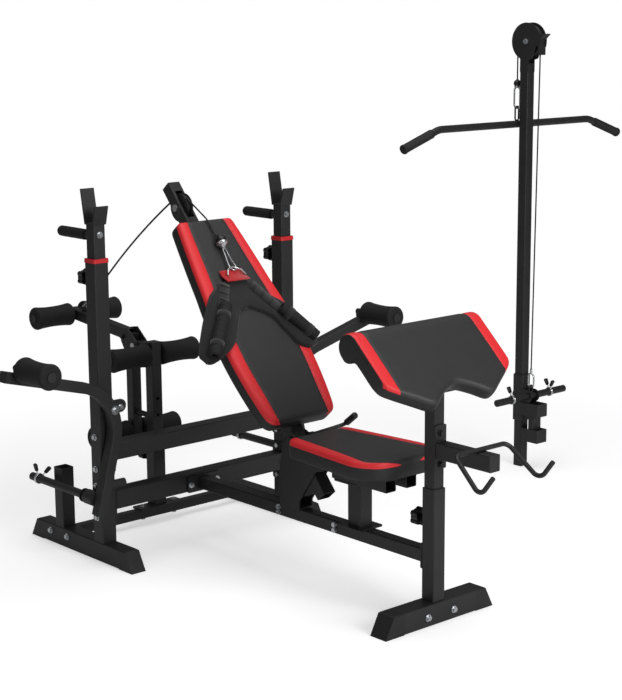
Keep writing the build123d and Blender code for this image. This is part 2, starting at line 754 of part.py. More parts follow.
lever_hub_y = cheek_outer + side_gap
with BuildPart() as recline_lever:
    with BuildSketch(Plane.XZ.offset(-lever_hub_y)):
        with Locations((pivot_x, pivot_z)):
            Circle(lever_hub_radius)
        with Locations(((pivot_x + lever_rod_x) / 2, (pivot_z + lever_rod_z) / 2)):
            lug_run = Vector(lever_rod_x - pivot_x, lever_rod_z - pivot_z)
            SlotCenterToCenter(lug_run.length, 18, rotation=degrees(atan2(lug_run.Y, lug_run.X)))
    extrude(amount=-lever_hub_length)
    with BuildLine() as lever_route:
        lever_points = [(lever_rod_x, lever_hub_y + 4, lever_rod_z), (lever_rod_x, 100, lever_rod_z + 4),
                        (-515, 152, 428), (-470, 155, 465)]
        FilletPolyline(*lever_points, radius=[60, 22])
    with BuildSketch(Plane(origin=lever_route.line @ 0, z_dir=lever_route.line % 0)):
        Circle(lever_rod_radius)
    sweep()
    grip_plane = Plane(origin=lever_route.line @ 1, z_dir=(lever_route.line % 1) * -1)
    with BuildSketch(grip_plane):
        Circle(10)
    extrude(amount=48)
    fillet(recline_lever.faces().sort_by(Axis(pivot, lever_route.line % 1))[-1].edges(), 6)
    with BuildSketch(Plane.XZ.offset(-lever_hub_y + 1)):
        with Locations((pivot_x, pivot_z)):
            Circle(pivot_radius + pin_gap)
    extrude(amount=-lever_hub_length - 2, mode=Mode.SUBTRACT)
recline_lever.part.label = "recline_lever"
export_step(recline_lever.part, "parts/recline_lever.step")

# ================================================================ racks, dip handles, knobs
for side, sign in SIDES:
    rack_y = sign * upright_y
    tube_face = upright_x - rack_size / 2
    with BuildPart() as rack_tube:
        with BuildSketch(Plane.XY.offset(upright_top - rack_insert)):
            with Locations((upright_x, rack_y)):
                box_section(rack_size, rack_size, corner=3)
        extrude(amount=rack_top - upright_top + rack_insert)
        with BuildSketch(Plane.YZ.offset(tube_face)):
            for step in range(rack_hole_count):
                with Locations((rack_y, rack_knob_z - step * rack_hole_pitch)):
                    Circle(rack_hole_radius)
        extrude(amount=2 * tube_wall, mode=Mode.SUBTRACT)
        with BuildSketch(Plane.XZ.offset(-rack_y - cradle_width / 2)):
            with BuildLine():
                rear_tip = (upright_x - cradle_floor_half - cradle_rear_lean, rack_top + cradle_rear_height)
                front_tip = (upright_x + cradle_floor_half + cradle_front_lean, rack_top + cradle_front_height)
                cradle = Polyline(rear_tip, (upright_x - cradle_floor_half, rack_top),
                                  (upright_x + cradle_floor_half, rack_top), front_tip)
                offset(cradle, amount=cradle_thick, side=Side.LEFT)
            make_face()
        extrude(amount=cradle_width)
        with BuildSketch(Plane.YZ.offset(tube_face)):
            with Locations((rack_y, dip_z)):
                Circle(dip_rod_radius)
        extrude(amount=-(dip_rod_end - rack_size / 2))
        bolt_at(upright_x + rack_size / 2, rack_y, rack_bolt_z, (1, 0, 0))
    rack_tube.part.label = f"rack_tube_{side}"
    export_step(rack_tube.part, f"parts/rack_tube_{side}.step")

    with BuildPart() as dip_grip:
        with BuildSketch(Plane.YZ.offset(upright_x - dip_grip_start)):
            with Locations((rack_y, dip_z)):
                Circle(dip_grip_radius)
        extrude(amount=-(dip_grip_end - dip_grip_start))
        fillet(dip_grip.faces().sort_by(Axis.X)[0].edges(), 9)
        with BuildSketch(Plane.YZ.offset(upright_x - dip_grip_start)):
            with Locations((rack_y, dip_z)):
                Circle(dip_rod_radius + pin_gap)
        extrude(amount=-(dip_rod_end + slide_gap - dip_grip_start), mode=Mode.SUBTRACT)
    dip_grip.part.label = f"dip_grip_{side}"
    export_step(dip_grip.part, f"parts/dip_grip_{side}.step")

leg_post_face = leg_post_x - post_outer / 2
knobs = (("rack_knob_left", upright_x - upright_size / 2, -upright_y, rack_knob_z, rack_size),
         ("rack_knob_right", upright_x - upright_size / 2, upright_y, rack_knob_z, rack_size),
         ("preacher_knob", -post_outer / 2, 0, preacher_knob_z, post_inner),
         ("leg_post_knob", leg_post_face, 0, leg_knob_z, post_inner))
for label, post_face, knob_y, knob_z, inner_size in knobs:
    outer_size = upright_size if inner_size == rack_size else post_outer
    reach = (outer_size - inner_size) / 2 - slide_gap
    with BuildPart() as knob:
        with BuildSketch(Plane.YZ.offset(post_face - knob_stand_off)):
            with Locations((knob_y, knob_z)):
                Circle(knob_radius - 3)
                with PolarLocations(knob_radius - 6, knob_lobes):
                    Circle(8)
        extrude(amount=-knob_length)
        fillet(knob.faces().sort_by(Axis.X)[0].edges(), 2.5)
        with BuildSketch(Plane.YZ.offset(post_face - knob_stand_off)):
            with Locations((knob_y, knob_z)):
                Circle(knob_stem_radius + 4)
        extrude(amount=knob_stand_off - knob_nut_length - 2)
        with BuildSketch(Plane.YZ.offset(post_face - knob_stand_off)):
            with Locations((knob_y, knob_z)):
                Circle(knob_stem_radius)
        extrude(amount=knob_stand_off + reach)
    knob.part.label = label
    export_step(knob.part, f"parts/{label}.step")

# ================================================================ preacher arm rest
pad_fall = radians(pad_slope)
down_pad = Vector(cos(pad_fall), 0, -sin(pad_fall))
off_pad = Vector(sin(pad_fall), 0, cos(pad_fall))
pad_origin = Vector(pad_top_x, 0, pad_top_z)
pad_under = Plane(origin=pad_origin - off_pad * pad_thick, x_dir=(0, 1, 0), z_dir=off_pad)
with BuildPart() as preacher_tube:
    tube_low = preacher_post_top - preacher_insert
    with BuildSketch(Plane.XY.offset(tube_low)):
        box_section(post_inner, post_inner, corner=3)
    extrude(amount=preacher_tube_top - tube_low)
    with BuildSketch(pad_under.offset(-plate_thick)):
        with Locations((0, -pad_seat_down)):
            Rectangle(3 * post_outer, 4 * post_outer)
    extrude(amount=3 * post_outer, mode=Mode.SUBTRACT)
    with BuildSketch(pad_under):
        with Locations((0, -pad_seat_down)):
            RectangleRounded(pad_seat_width, pad_seat_length, 8)
    extrude(amount=-plate_thick)
    with BuildSketch(Plane.YZ.offset(post_inner / 2)):
        with Locations((0, (face_plate_low + face_plate_high) / 2)):
            RectangleRounded(face_plate_width, face_plate_high - face_plate_low, 4)
    extrude(amount=plate_thick)
    with BuildSketch(Plane.YZ.offset(post_inner / 2 + plate_thick)):
        with Locations((0, arm_tube_top - arm_tube_height / 2)):
            box_section(post_inner, arm_tube_height, corner=3)
    extrude(amount=arm_tube_end - post_inner / 2 - plate_thick)
    with BuildSketch(Plane.YZ.offset(arm_tube_end)):
        with Locations((0, arm_tube_top - arm_tube_height / 2)):
            RectangleRounded(post_inner, arm_tube_height, 3)
    extrude(amount=-3)
    for height in (face_plate_low + 12, face_plate_high - 22):
        bolt_at(post_inner / 2 + plate_thick, 0, height, (1, 0, 0))
preacher_tube.part.label = "preacher_tube"
export_step(preacher_tube.part, "parts/preacher_tube.step")

pad_side = Plane(origin=pad_origin - Vector(0, pad_half, 0), x_dir=down_pad, z_dir=(0, -1, 0))
pad_plan = Plane(origin=pad_origin - off_pad * 2 * pad_roll_radius, x_dir=(0, 1, 0), z_dir=off_pad)
with BuildPart() as preacher_pad:
    with BuildSketch(pad_side):
        with Locations((0.7 * pad_roll_radius, -pad_roll_radius)):
            Circle(pad_roll_radius)
        with BuildLine():
            Polyline((0.7 * pad_roll_radius, 0), (pad_length, 0), (pad_length, -pad_thick),
                     (0.7 * pad_roll_radius, -pad_thick), close=True)
        make_face()
    extrude(amount=-2 * pad_half)
    with BuildSketch(pad_plan):
        with BuildLine():
            rear_y = 2 * pad_roll_radius
            hollow = ThreePointArc((0, pad_notch_depth - pad_length), (48, pad_notch_depth - 17 - pad_length),
                                   (pad_notch_half, 6 - pad_length))
            tip = ThreePointArc(hollow @ 1, (pad_notch_half + 12, -pad_length), (122, 4 - pad_length))
            flank = Line(tip @ 1, (pad_half - 14, 68 - pad_length))
            corner = ThreePointArc(flank @ 1, (pad_half - 3, 80 - pad_length), (pad_half, 98 - pad_length))
            Polyline(corner @ 1, (pad_half, rear_y), (0, rear_y))
            mirror(about=Plane.YZ)
        make_face()
    extrude(amount=3 * pad_roll_radius, mode=Mode.INTERSECT)
preacher_pad.part.label = "preacher_pad"
export_step(preacher_pad.part, "parts/preacher_pad.step")

with BuildPart() as curl_bar_catch:
    bar_z_low = arm_tube_top + catch_radius
    catch_points = [(314, -113, 484), (271, -113, 428), (catch_x, -99, bar_z_low),
                    (catch_x, 99, bar_z_low), (271, 113, 428), (314, 113, 484)]
    with BuildLine() as catch_route:
        FilletPolyline(*catch_points, radius=[26, 22, 22, 26])
    with BuildSketch(Plane(origin=catch_route.line @ 0, z_dir=catch_route.line % 0)):
        Circle(catch_radius)
    sweep()
curl_bar_catch.part.label = "curl_bar_catch"
export_step(curl_bar_catch.part, "parts/curl_bar_catch.step")

# ================================================================ butterfly arms
arm_inner_x = upright_x + upright_size / 2 + plate_thick + side_gap
arm_x = arm_inner_x + arm_depth / 2
arm_outer_x = arm_inner_x + arm_depth
axle_tail = (plate_thick + side_gap) / 2      # clears the upright as the arm swings past it
arm_roller_x = arm_outer_x + 1.2 + roller_length / 2
arm_roller_end = arm_roller_x + roller_length / 2
for side, sign in SIDES:
    with BuildPart() as arm:
        arm_points = [(arm_x, sign * y, z) for y, z in (arm_upper_end, arm_corner, arm_lower_end)]
        with BuildLine() as arm_route:
            FilletPolyline(*arm_points, radius=arm_bend)
        start = Plane(origin=arm_route.line @ 0, x_dir=(1, 0, 0), z_dir=arm_route.line % 0)
        with BuildSketch(start):
            box_section(arm_depth, arm_width)
        sweep()
        finish = Plane(origin=arm_route.line @ 1, x_dir=(1, 0, 0), z_dir=arm_route.line % 1)
        for cap_plane, inward in ((start, 3), (finish, -3)):
            with BuildSketch(cap_plane):
                RectangleRounded(arm_depth, arm_width, tube_corner)
            extrude(amount=inward)
        # pivot bush
        with BuildSketch(Plane.YZ.offset(arm_inner_x)):
            with Locations((sign * arm_pivot_y, arm_pivot_z)):
                Circle(arm_width / 2 - tube_wall)
        extrude(amount=arm_depth)
        with BuildSketch(Plane.YZ.offset(arm_inner_x)):
            with Locations((sign * arm_pivot_y, arm_pivot_z)):
                Circle(arm_pivot_radius + pin_gap)
        extrude(amount=arm_depth, mode=Mode.SUBTRACT)
        # roller axle on its lug, with the end cap that keeps the roller on
        with BuildSketch(Plane.YZ.offset(arm_inner_x)):
            with Locations((sign * arm_axle_y, arm_axle_z - 8)):
                Rectangle(2 * axle_radius, 16)
        extrude(amount=arm_depth)
        with BuildSketch(Plane.YZ.offset(arm_inner_x - axle_tail)):
            with Locations((sign * arm_axle_y, arm_axle_z)):
                Circle(axle_radius)
        extrude(amount=arm_roller_end + side_gap - arm_inner_x + axle_tail)
        with BuildSketch(Plane.YZ.offset(arm_roller_end + side_gap)):
            with Locations((sign * arm_axle_y, arm_axle_z)):
                Circle(axle_radius + 4)
        extrude(amount=3)
        # weight peg with its collar and flange
        for radius, peg_start, peg_stop in ((peg_collar_radius, arm_inner_x, peg_collar_end),
                                            (peg_radius, peg_collar_end, peg_end),
                                            (peg_flange_radius, peg_flange_x, peg_flange_x - 5)):
            with BuildSketch(Plane.YZ.offset(peg_start)):
                with Locations((sign * peg_y, peg_z)):
                    Circle(radius)
            extrude(amount=peg_stop - peg_start)
        # shallow seam where the end cap's barrel, on which the spring clip stands, meets the tube
        with BuildSketch(Plane.YZ.offset(peg_seam_x)):
            with Locations((sign * peg_y, peg_z)):
                Circle(peg_radius + 1)
                Circle(peg_radius - 0.6, mode=Mode.SUBTRACT)
        extrude(amount=peg_seam, mode=Mode.SUBTRACT)
        # buffer on the inner side of the lower leg
        leg_rise = (arm_buffer_z - arm_lower_end[1]) / (arm_corner[1] - arm_lower_end[1])
        leg_y = arm_lower_end[0] + leg_rise * (arm_corner[0] - arm_lower_end[0])
        with BuildSketch(Plane.XZ.offset(-sign * (leg_y - arm_width / 2 + 2))):
            with Locations((arm_x, arm_buffer_z)):
                Circle(arm_buffer_radius)
        extrude(amount=sign * (arm_buffer_length + 2))
    arm.part.label = f"arm_{side}"
    export_step(arm.part, f"parts/arm_{side}.step")

    with BuildPart() as arm_roller:
        roller_mid = Vector(arm_roller_x, sign * arm_axle_y, arm_axle_z)
        with BuildSketch(Plane(origin=roller_mid, x_dir=(1, 0, 0), z_dir=(0, -1, 0))):
            roller_profile(roller_length, roller_radius, roller_waist, axle_radius + pin_gap)
        revolve(axis=Axis(roller_mid, (1, 0, 0)))
    arm_roller.part.label = f"arm_roller_{side}"
    export_step(arm_roller.part, f"parts/arm_roller_{side}.step")

    with BuildPart() as peg_clip:
        with BuildSketch(Plane.YZ.offset(clip_x)):
            with Locations((sign * peg_y, peg_z)):
                Circle(peg_radius + slide_gap + 3.5)
                Circle(peg_radius + slide_gap, mode=Mode.SUBTRACT)
        extrude(amount=clip_length)
        for lean in (-sign * 12, sign * 52):
            ear = Plane(origin=(clip_x + clip_length / 2, sign * peg_y, peg_z),
                        z_dir=(0, sin(radians(lean)), cos(radians(lean))))
            with BuildSketch(ear.offset(peg_radius + slide_gap + 2)):
                Circle(3)
            extrude(amount=12)
            with BuildSketch(ear.offset(peg_radius + slide_gap + 12)):
                SlotOverall(20, 9)
            extrude(amount=22)
    peg_clip.part.label = f"peg_clip_{side}"
    export_step(peg_clip.part, f"parts/peg_clip_{side}.step")

# ================================================================ leg developer
leg_base_top = rear_tube_z + rear_tube_size / 2 + plate_thick
with BuildPart() as leg_post:
    with BuildSketch(Plane.XY.offset(leg_base_top - plate_thick)):
        with Locations((rear_tube_x, 0)):
            RectangleRounded(leg_base_width, 2 * leg_base_half, 6)
        with Locations((rear_tube_x, -leg_base_bolt_y), (rear_tube_x, leg_base_bolt_y)):
            Circle(bolt_radius + slide_gap, mode=Mode.SUBTRACT)
    extrude(amount=plate_thick)
    with BuildSketch(Plane.XY.offset(leg_base_top)):
        with Locations((leg_post_x, 0)):
            box_section(post_outer, post_outer, wall=post_wall)
    extrude(amount=leg_post_top - leg_base_top)
    with BuildSketch(Plane.YZ.offset(leg_post_face)):
        with Locations((0, leg_knob_z)):
            Circle(knob_nut_radius)
    extrude(amount=-knob_nut_length)
    with BuildSketch(Plane.YZ.offset(leg_post_face - knob_nut_length)):
        with Locations((0, leg_knob_z)):
            Circle(knob_stem_radius + pin_gap)
    extrude(amount=knob_nut_length + 2 * post_wall, mode=Mode.SUBTRACT)
leg_post.part.label = "leg_post"
export_step(leg_post.part, "parts/leg_post.step")

lug_half = swing_size / 2 - side_gap
lever_cheek_outer = swing_size / 2 + cheek_thick
axle_end = roller_inner_y + roller_length + side_gap
with BuildPart() as leg_tube:
    with BuildSketch(Plane.XY.offset(leg_post_top - leg_insert)):
        with Locations((leg_post_x, 0)):
            box_section(post_inner, post_inner, corner=3)
    extrude(amount=leg_tube_top - leg_post_top + leg_insert)
    with BuildSketch(Plane.XY.offset(leg_tube_top)):
        with Locations((leg_post_x, 0)):
            RectangleRounded(post_inner, post_inner, 3)
    extrude(amount=-3)
    with BuildSketch(Plane.YZ.offset(leg_post_x)):
        with Locations(*[(0, height) for height in leg_hole_heights]):
            Circle(5.5)
    extrude(amount=post_inner, mode=Mode.SUBTRACT)
    with BuildSketch(Plane.XZ.offset(-axle_end)):
        with Locations((leg_post_x, knee_axle_z)):
            Circle(axle_radius)
    extrude(amount=2 * axle_end)
    for sign in (-1, 1):
        with BuildSketch(Plane.XZ.offset(-sign * axle_end)):
            with Locations((leg_post_x, knee_axle_z)):
                Circle(axle_radius + 4)
        extrude(amount=-sign * 3)
    # pivot lug and pin
    with BuildSketch(Plane.XZ.offset(-lug_half)):
        with Locations((leg_pivot_x, leg_pivot_z)):
            Circle(leg_lug_radius)
        lug_front = leg_post_x - post_inner / 2
        with Locations(((leg_pivot_x + lug_front) / 2, leg_pivot_z)):
            Rectangle(lug_front - leg_pivot_x, 2 * leg_lug_radius)
    extrude(amount=2 * lug_half)
    pin_half = lever_cheek_outer + side_gap
    with BuildSketch(Plane.XZ.offset(-pin_half)):
        with Locations((leg_pivot_x, leg_pivot_z)):
            Circle(leg_pivot_radius)
    extrude(amount=2 * pin_half)
    for sign in (-1, 1):
        with BuildSketch(Plane.XZ.offset(-sign * pin_half)):
            with Locations((leg_pivot_x, leg_pivot_z)):
                RegularPolygon(11, 6)
        extrude(amount=-sign * bolt_head_height)
leg_tube.part.label = "leg_tube"
export_step(leg_tube.part, "parts/leg_tube.step")

rise = radians(lever_rise)
lever_dir = Vector(-cos(rise), 0, sin(rise))
lever_origin = Vector(swing_x - swing_size / 2 + tube_wall / 2, 0, lever_start_z)
lever_axle = lever_origin + lever_dir * lever_axle_along
with BuildPart() as leg_lever:
    with BuildSketch(Plane.XY.offset(swing_axle_z - swing_size / 2)):
        with Locations((swing_x, 0)):
            box_section(swing_size, swing_size, corner=3)
    extrude(amount=leg_pivot_z + 34 - swing_axle_z + swing_size / 2)
    with BuildSketch(Plane.XY.offset(leg_pivot_z + 34)):
        with Locations((swing_x, 0)):
            RectangleRounded(swing_size, swing_size, 3)
    extrude(amount=-3)
    with BuildSketch(Plane(origin=lever_origin, x_dir=(0, 1, 0), z_dir=lever_dir)):
        box_section(swing_size, swing_size, corner=3)
    extrude(amount=lever_length)
    with BuildSketch(Plane(origin=lever_origin + lever_dir * lever_length, x_dir=(0, 1, 0), z_dir=lever_dir)):
        RectangleRounded(swing_size, swing_size, 3)
    extrude(amount=-3)
    for sign in (-1, 1):
        with BuildSketch(Plane.XZ.offset(-sign * swing_size / 2)):
            Polygon((leg_pivot_x, leg_pivot_z - 20), (swing_x - 17, leg_pivot_z - 22),
                    (swing_x - 36, leg_pivot_z + 8), (swing_x - 36, leg_pivot_z + 48),
                    (swing_x, leg_pivot_z + 54), (leg_pivot_x + 15, leg_pivot_z + 14), align=None)
            with Locations((leg_pivot_x, leg_pivot_z)):
                Circle(20)
        extrude(amount=-sign * cheek_thick)
        bolt_at(swing_x - 24, sign * lever_cheek_outer, leg_pivot_z + 22, (0, sign, 0), rim=7.5)
    with BuildSketch(Plane.XZ.offset(-2 * swing_size)):
        with Locations((leg_pivot_x, leg_pivot_z)):
            Circle(leg_pivot_radius + pin_gap)
    extrude(amount=4 * swing_size, mode=Mode.SUBTRACT)
    for axle_x, axle_z in ((swing_x, swing_axle_z), (lever_axle.X, lever_axle.Z)):
        with BuildSketch(Plane.XZ.offset(-axle_end)):
            with Locations((axle_x, axle_z)):
                Circle(axle_radius)
        extrude(amount=2 * axle_end)
        for sign in (-1, 1):
            with BuildSketch(Plane.XZ.offset(-sign * axle_end)):
                with Locations((axle_x, axle_z)):
                    Circle(axle_radius + 4)
            extrude(amount=-sign * 3)
    # stop that rests against the sliding tube
    with BuildSketch(Plane.YZ.offset(swing_x + swing_size / 2 - tube_wall / 2)):
        with Locations((0, swing_stop_z)):
            Circle(9)
    stop_reach = lug_front - side_gap - swing_x - swing_size / 2 + tube_wall / 2
    extrude(amount=stop_reach)
    # eye for the cable
    eye_plane = Plane(origin=lever_origin + lever_dir * lever_eye_along, x_dir=lever_dir, z_dir=(0, 1, 0))
    with BuildSketch(eye_plane.offset(-2.5)):
        with Locations((0, swing_size / 2 + eye_rise)):
            Circle(eye_radius)
        with Locations((0, swing_size / 2 + eye_rise / 2 - 1)):
            Rectangle(2 * eye_radius, eye_rise + 2)
        with Locations((0, swing_size / 2 + eye_rise)):
            Circle(eye_hole_radius, mode=Mode.SUBTRACT)
    extrude(amount=5)
leg_lever.part.label = "leg_lever"
export_step(leg_lever.part, "parts/leg_lever.step")

roller_pairs = (("knee_rollers", leg_post_x, knee_axle_z),
                ("swing_rollers", swing_x, swing_axle_z),
                ("lever_rollers", lever_axle.X, lever_axle.Z))
for label, axle_x, axle_z in roller_pairs:
    with BuildPart() as rollers:
        for sign in (-1, 1):
            roller_mid = Vector(axle_x, sign * (roller_inner_y + roller_length / 2), axle_z)
            with BuildSketch(Plane(origin=roller_mid, x_dir=(0, 1, 0), z_dir=(1, 0, 0))):
                roller_profile(roller_length, roller_radius, roller_waist, axle_radius + pin_gap)
            revolve(axis=Axis(roller_mid, (0, 1, 0)))
    rollers.part.label = label
    export_step(rollers.part, f"parts/{label}.step")

# ================================================================ pull cable, snap hooks, harness
def hook_ring(length, width, rod):
    # Oval ring of round bar standing in the XZ plane, its lowest point on Z = 0.
    reach = (width - rod) / 2
    with BuildPart() as piece:
        for height, turn in ((width / 2, 1), (length - width / 2, -1)):
            with BuildSketch(Plane.XY.offset(height)):
                with Locations((reach, 0)):
                    Circle(rod / 2)
            revolve(axis=Axis((0, 0, height), (0, turn, 0)), revolution_arc=180)
        with BuildSketch(Plane.XY.offset(width / 2)):
            with Locations((-reach, 0), (reach, 0)):
                Circle(rod / 2)
        extrude(amount=length - width)
    return piece.part


def snap_hook(hook_length, ball):
    # Stop ball centred on the origin, a flat collar on top of it, a ring hanging below it.
    with BuildPart() as piece:
        Sphere(ball)
        with BuildSketch():
            Circle(cable_radius + 2)
        extrude(amount=ball + 2)
        with BuildSketch():
            Circle(0.8 * ball)
        extrude(amount=-ball)
        ring = hook_ring(hook_length, hook_width, hook_bar)
        add(ring.moved(Location((0, 0, -ball - hook_length + hook_bar / 2))))
    return piece.part


def touch_point(outside, centre, reach, side):
    # Where the straight line from an outside point touches a circle in the XZ plane.
    gap = centre - outside
    swing = side * asin(reach / gap.length)
    run = sqrt(gap.length ** 2 - reach ** 2)
    heading = atan2(gap.Z, gap.X) + swing
    return outside + Vector(cos(heading), 0, sin(heading)) * run


def meeting(first, first_dir, second, second_dir):
    # Where two lines in the XZ plane cross.
    gap = second - first
    share = (gap.X * second_dir.Z - gap.Z * second_dir.X) / (first_dir.X * second_dir.Z - first_dir.Z * second_dir.X)
    return first + first_dir * share


def bend_radius(before, corner, after):
    # Largest easy radius at a corner: 0.45 of the shorter run over the tangent of half the turn.
    half_turn = radians((corner - before).get_angle(after - corner)) / 2
    return 0.45 * min((corner - before).length, (after - corner).length) / tan(half_turn)


pad_face = spine_depth / 2 + back_pad_thick
pulley_centre = pivot + along * spine_pulley_along
wrap_radius = spine_pulley_radius - pulley_groove - 2.5 + cable_radius + side_gap
ball_centre = pivot + along * pull_ball_along + outward * (pad_face + pull_ball_radius + side_gap)
pad_crest = pivot + along * (back_pad_low + back_pad_length - 6) + outward * (pad_face + cable_radius + 3)
eye_up = Vector(sin(rise), 0, cos(rise))
eye_centre = lever_origin + lever_dir * lever_eye_along + eye_up * (swing_size / 2 + eye_rise)
rear_touch = touch_point(eye_centre, pulley_centre, wrap_radius, 1)
rear_dir = (rear_touch - eye_centre).normalized()
rear_up = Vector(-rear_dir.Z, 0, rear_dir.X)
hook_seat = eye_centre + rear_dir * (eye_hole_radius - hook_bar / 2 - side_gap)
rear_start = hook_seat + rear_dir * (lever_hook_length - hook_bar / 2 + 14)
bow_point = (rear_start + rear_touch) / 2 + rear_up * cable_bow
rear_touch = touch_point(bow_point, pulley_centre, wrap_radius, 1)
rear_dir = (rear_touch - bow_point).normalized()
front_touch = touch_point(pad_crest, pulley_centre, wrap_radius, -1)
front_dir = (pad_crest - front_touch).normalized()
wrap_corner = meeting(rear_touch, rear_dir, front_touch, front_dir)
split = rear_touch - rear_dir * 8
ball_top = ball_centre + (pad_crest - ball_centre).normalized() * (pull_ball_radius + 2)

with BuildPart() as harness_cable_rear:
    rear_radius = bend_radius(rear_start, bow_point, split)
    with BuildLine() as rear_route:
        FilletPolyline(rear_start, bow_point, split, radius=rear_radius)
    with BuildSketch(Plane(origin=rear_route.line @ 0, z_dir=rear_route.line % 0)):
        Circle(cable_radius)
    sweep()
harness_cable_rear.part.label = "harness_cable_rear"
export_step(harness_cable_rear.part, "parts/harness_cable_rear.step")
print("harness_cable_rear radius", round(rear_radius, 1), "length", round(sum(edge.length for edge in rear_route.edges()), 1),
      "volume", round(harness_cable_rear.part.volume))

with BuildPart() as harness_cable_front:
    crest_radius = min(60.0, bend_radius(front_touch, pad_crest, ball_top))
    with BuildLine() as front_route:
        FilletPolyline(split, wrap_corner, pad_crest, ball_top, radius=[wrap_radius, crest_radius])
    with BuildSketch(Plane(origin=front_route.line @ 0, z_dir=front_route.line % 0)):
        Circle(cable_radius)
    sweep()
harness_cable_front.part.label = "harness_cable_front"
export_step(harness_cable_front.part, "parts/harness_cable_front.step")
print("harness_cable_front radii", round(wrap_radius, 1), round(crest_radius, 1),
      "length", round(sum(edge.length for edge in front_route.edges()), 1), "volume", round(harness_cable_front.part.volume))

with BuildPart() as lever_clip:
    clip_ring = hook_ring(lever_hook_length, hook_width, hook_bar)
    ring_plane = Plane(origin=hook_seat - rear_dir * hook_bar / 2, x_dir=(0, 1, 0), z_dir=rear_dir)
    add(clip_ring.moved(Location(ring_plane)))
    first_dir = (bow_point - rear_start).normalized()
    with BuildSketch(Plane(origin=rear_start, z_dir=first_dir)):
        Circle(cable_radius + 2)
    extrude(amount=-18)
lever_clip.part.label = "lever_clip"
export_step(lever_clip.part, "parts/lever_clip.step")

with BuildPart() as harness_clip:
    crest_dir = (pad_crest - ball_centre).normalized()
    clip_plane = Plane(origin=ball_centre, x_dir=(0, 1, 0), z_dir=crest_dir)
    add(snap_hook(pull_hook_length, pull_ball_radius).moved(Location(clip_plane)))
harness_clip.part.label = "harness_clip"
export_step(harness_clip.part, "parts/harness_clip.step")

droop = radians(harness_droop)
wing = 100.0
harness_outline = [(-15, 483), (-74, 466), (-123, 437), (-167, 381), (-198, 334), (-234, 271),
                   (-228, 240), (-206, 226), (-171, 237), (-136, 255), (-101, 284), (-65, 338),
                   (-46, 366), (-12, 378), (24, 359), (60, 333), (76, 291), (96, 243), (116, 222),
                   (147, 213), (187, 235), (186, 253), (155, 326), (126, 380), (71, 424), (29, 470)]
with BuildPart() as harness:
    with BuildSketch(Plane(origin=pivot + along * back_pad_low, x_dir=(0, 1, 0), z_dir=along)):
        # local y of this plane points into the cushion
        low = -(pad_face + side_gap)
        high = low - harness_thick
        edge = harness_flat_half
        drop = wing * sin(droop)
        Polygon((-edge, low), (edge, low), (edge + wing * cos(droop), low + drop),
                (edge + wing * cos(droop), high + drop), (edge, high), (-edge, high),
                (-edge - wing * cos(droop), high + drop), (-edge - wing * cos(droop), low + drop), align=None)
    extrude(amount=back_pad_length)
    with BuildSketch(back_face(0)):
        with BuildLine():
            Polyline(*[(y, s + harness_line) for y, s in harness_outline], close=True)
        make_face()
    extrude(amount=2 * pad_face, mode=Mode.INTERSECT)
    # webbing tab for the snap hook
    with BuildSketch(back_face(pad_face + side_gap)):
        with Locations((-6, harness_line + 486)):
            Rectangle(58, 44)
    extrude(amount=2.5)
    # shoulder straps with their grips
    for strap in (((-60, 466), (-150, 285)), ((34, 452), (135, 345))):
        first_end, last_end = [pivot + along * (s + harness_line) + outward * (pad_face + harness_thick - 1)
                               + Vector(0, y, 0) for y, s in strap]
        strap_dir = (last_end - first_end).normalized()
        with BuildSketch(Plane(origin=first_end, x_dir=outward, z_dir=strap_dir)):
            Rectangle(6, 32)
        extrude(amount=(last_end - first_end).length)
harness.part.label = "harness"
export_step(harness.part, "parts/harness.step")

# ================================================================ cable mast
mast_face = mast_size / 2
cheek_in = mast_face - mast_cheek_thick
with BuildPart() as mast:
    with BuildSketch():
        with Locations((mast_x, mast_y)):
            box_section(mast_size, mast_size, corner=3)
    extrude(amount=mast_top)
    with BuildSketch():
        with Locations((mast_x, mast_y)):
            RectangleRounded(mast_size, mast_size, 3)
    extrude(amount=4)
    for sign in (-1, 1):
        with BuildSketch(Plane.XZ.offset(-mast_y - sign * cheek_in)):
            with Locations((mast_pulley_x, mast_pulley_z)):
                Circle(mast_cheek_radius)
            with Locations((mast_x, (mast_top - 30 + mast_pulley_z) / 2)):
                Rectangle(mast_size, mast_pulley_z - mast_top + 30)
            with Locations((mast_x + 66, mast_pulley_z - 60)):
                Rectangle(60, 76, rotation=-25, mode=Mode.SUBTRACT)
        extrude(amount=-sign * mast_cheek_thick)
        with BuildSketch(Plane.XZ.offset(-mast_y - sign * (mast_pulley_width / 2 + side_gap))):
            with Locations((mast_pulley_x, mast_pulley_z)):
                Circle(mast_axle_radius + 5)
        extrude(amount=-sign * (cheek_in - mast_pulley_width / 2 - side_gap))
        bolt_at(mast_pulley_x, mast_y + sign * mast_face, mast_pulley_z, (0, sign, 0))
    with BuildSketch(Plane.XZ.offset(-mast_y - mast_face)):
        with Locations((mast_pulley_x, mast_pulley_z)):
            Circle(mast_axle_radius)
    extrude(amount=mast_size)
    guard_x = mast_pulley_x + mast_cheek_radius - 8
    with BuildSketch(Plane.XZ.offset(-mast_y - mast_face)):
        with BuildLine() as guard:
            Polyline((guard_x, mast_pulley_z - 46), (guard_x, mast_pulley_z + 6),
                     (guard_x + 22, mast_pulley_z + 26))
            offset(guard.line, amount=3, side=Side.RIGHT)
        make_face()
    extrude(amount=mast_size)
mast.part.label = "mast"
export_step(mast.part, "parts/mast.step")

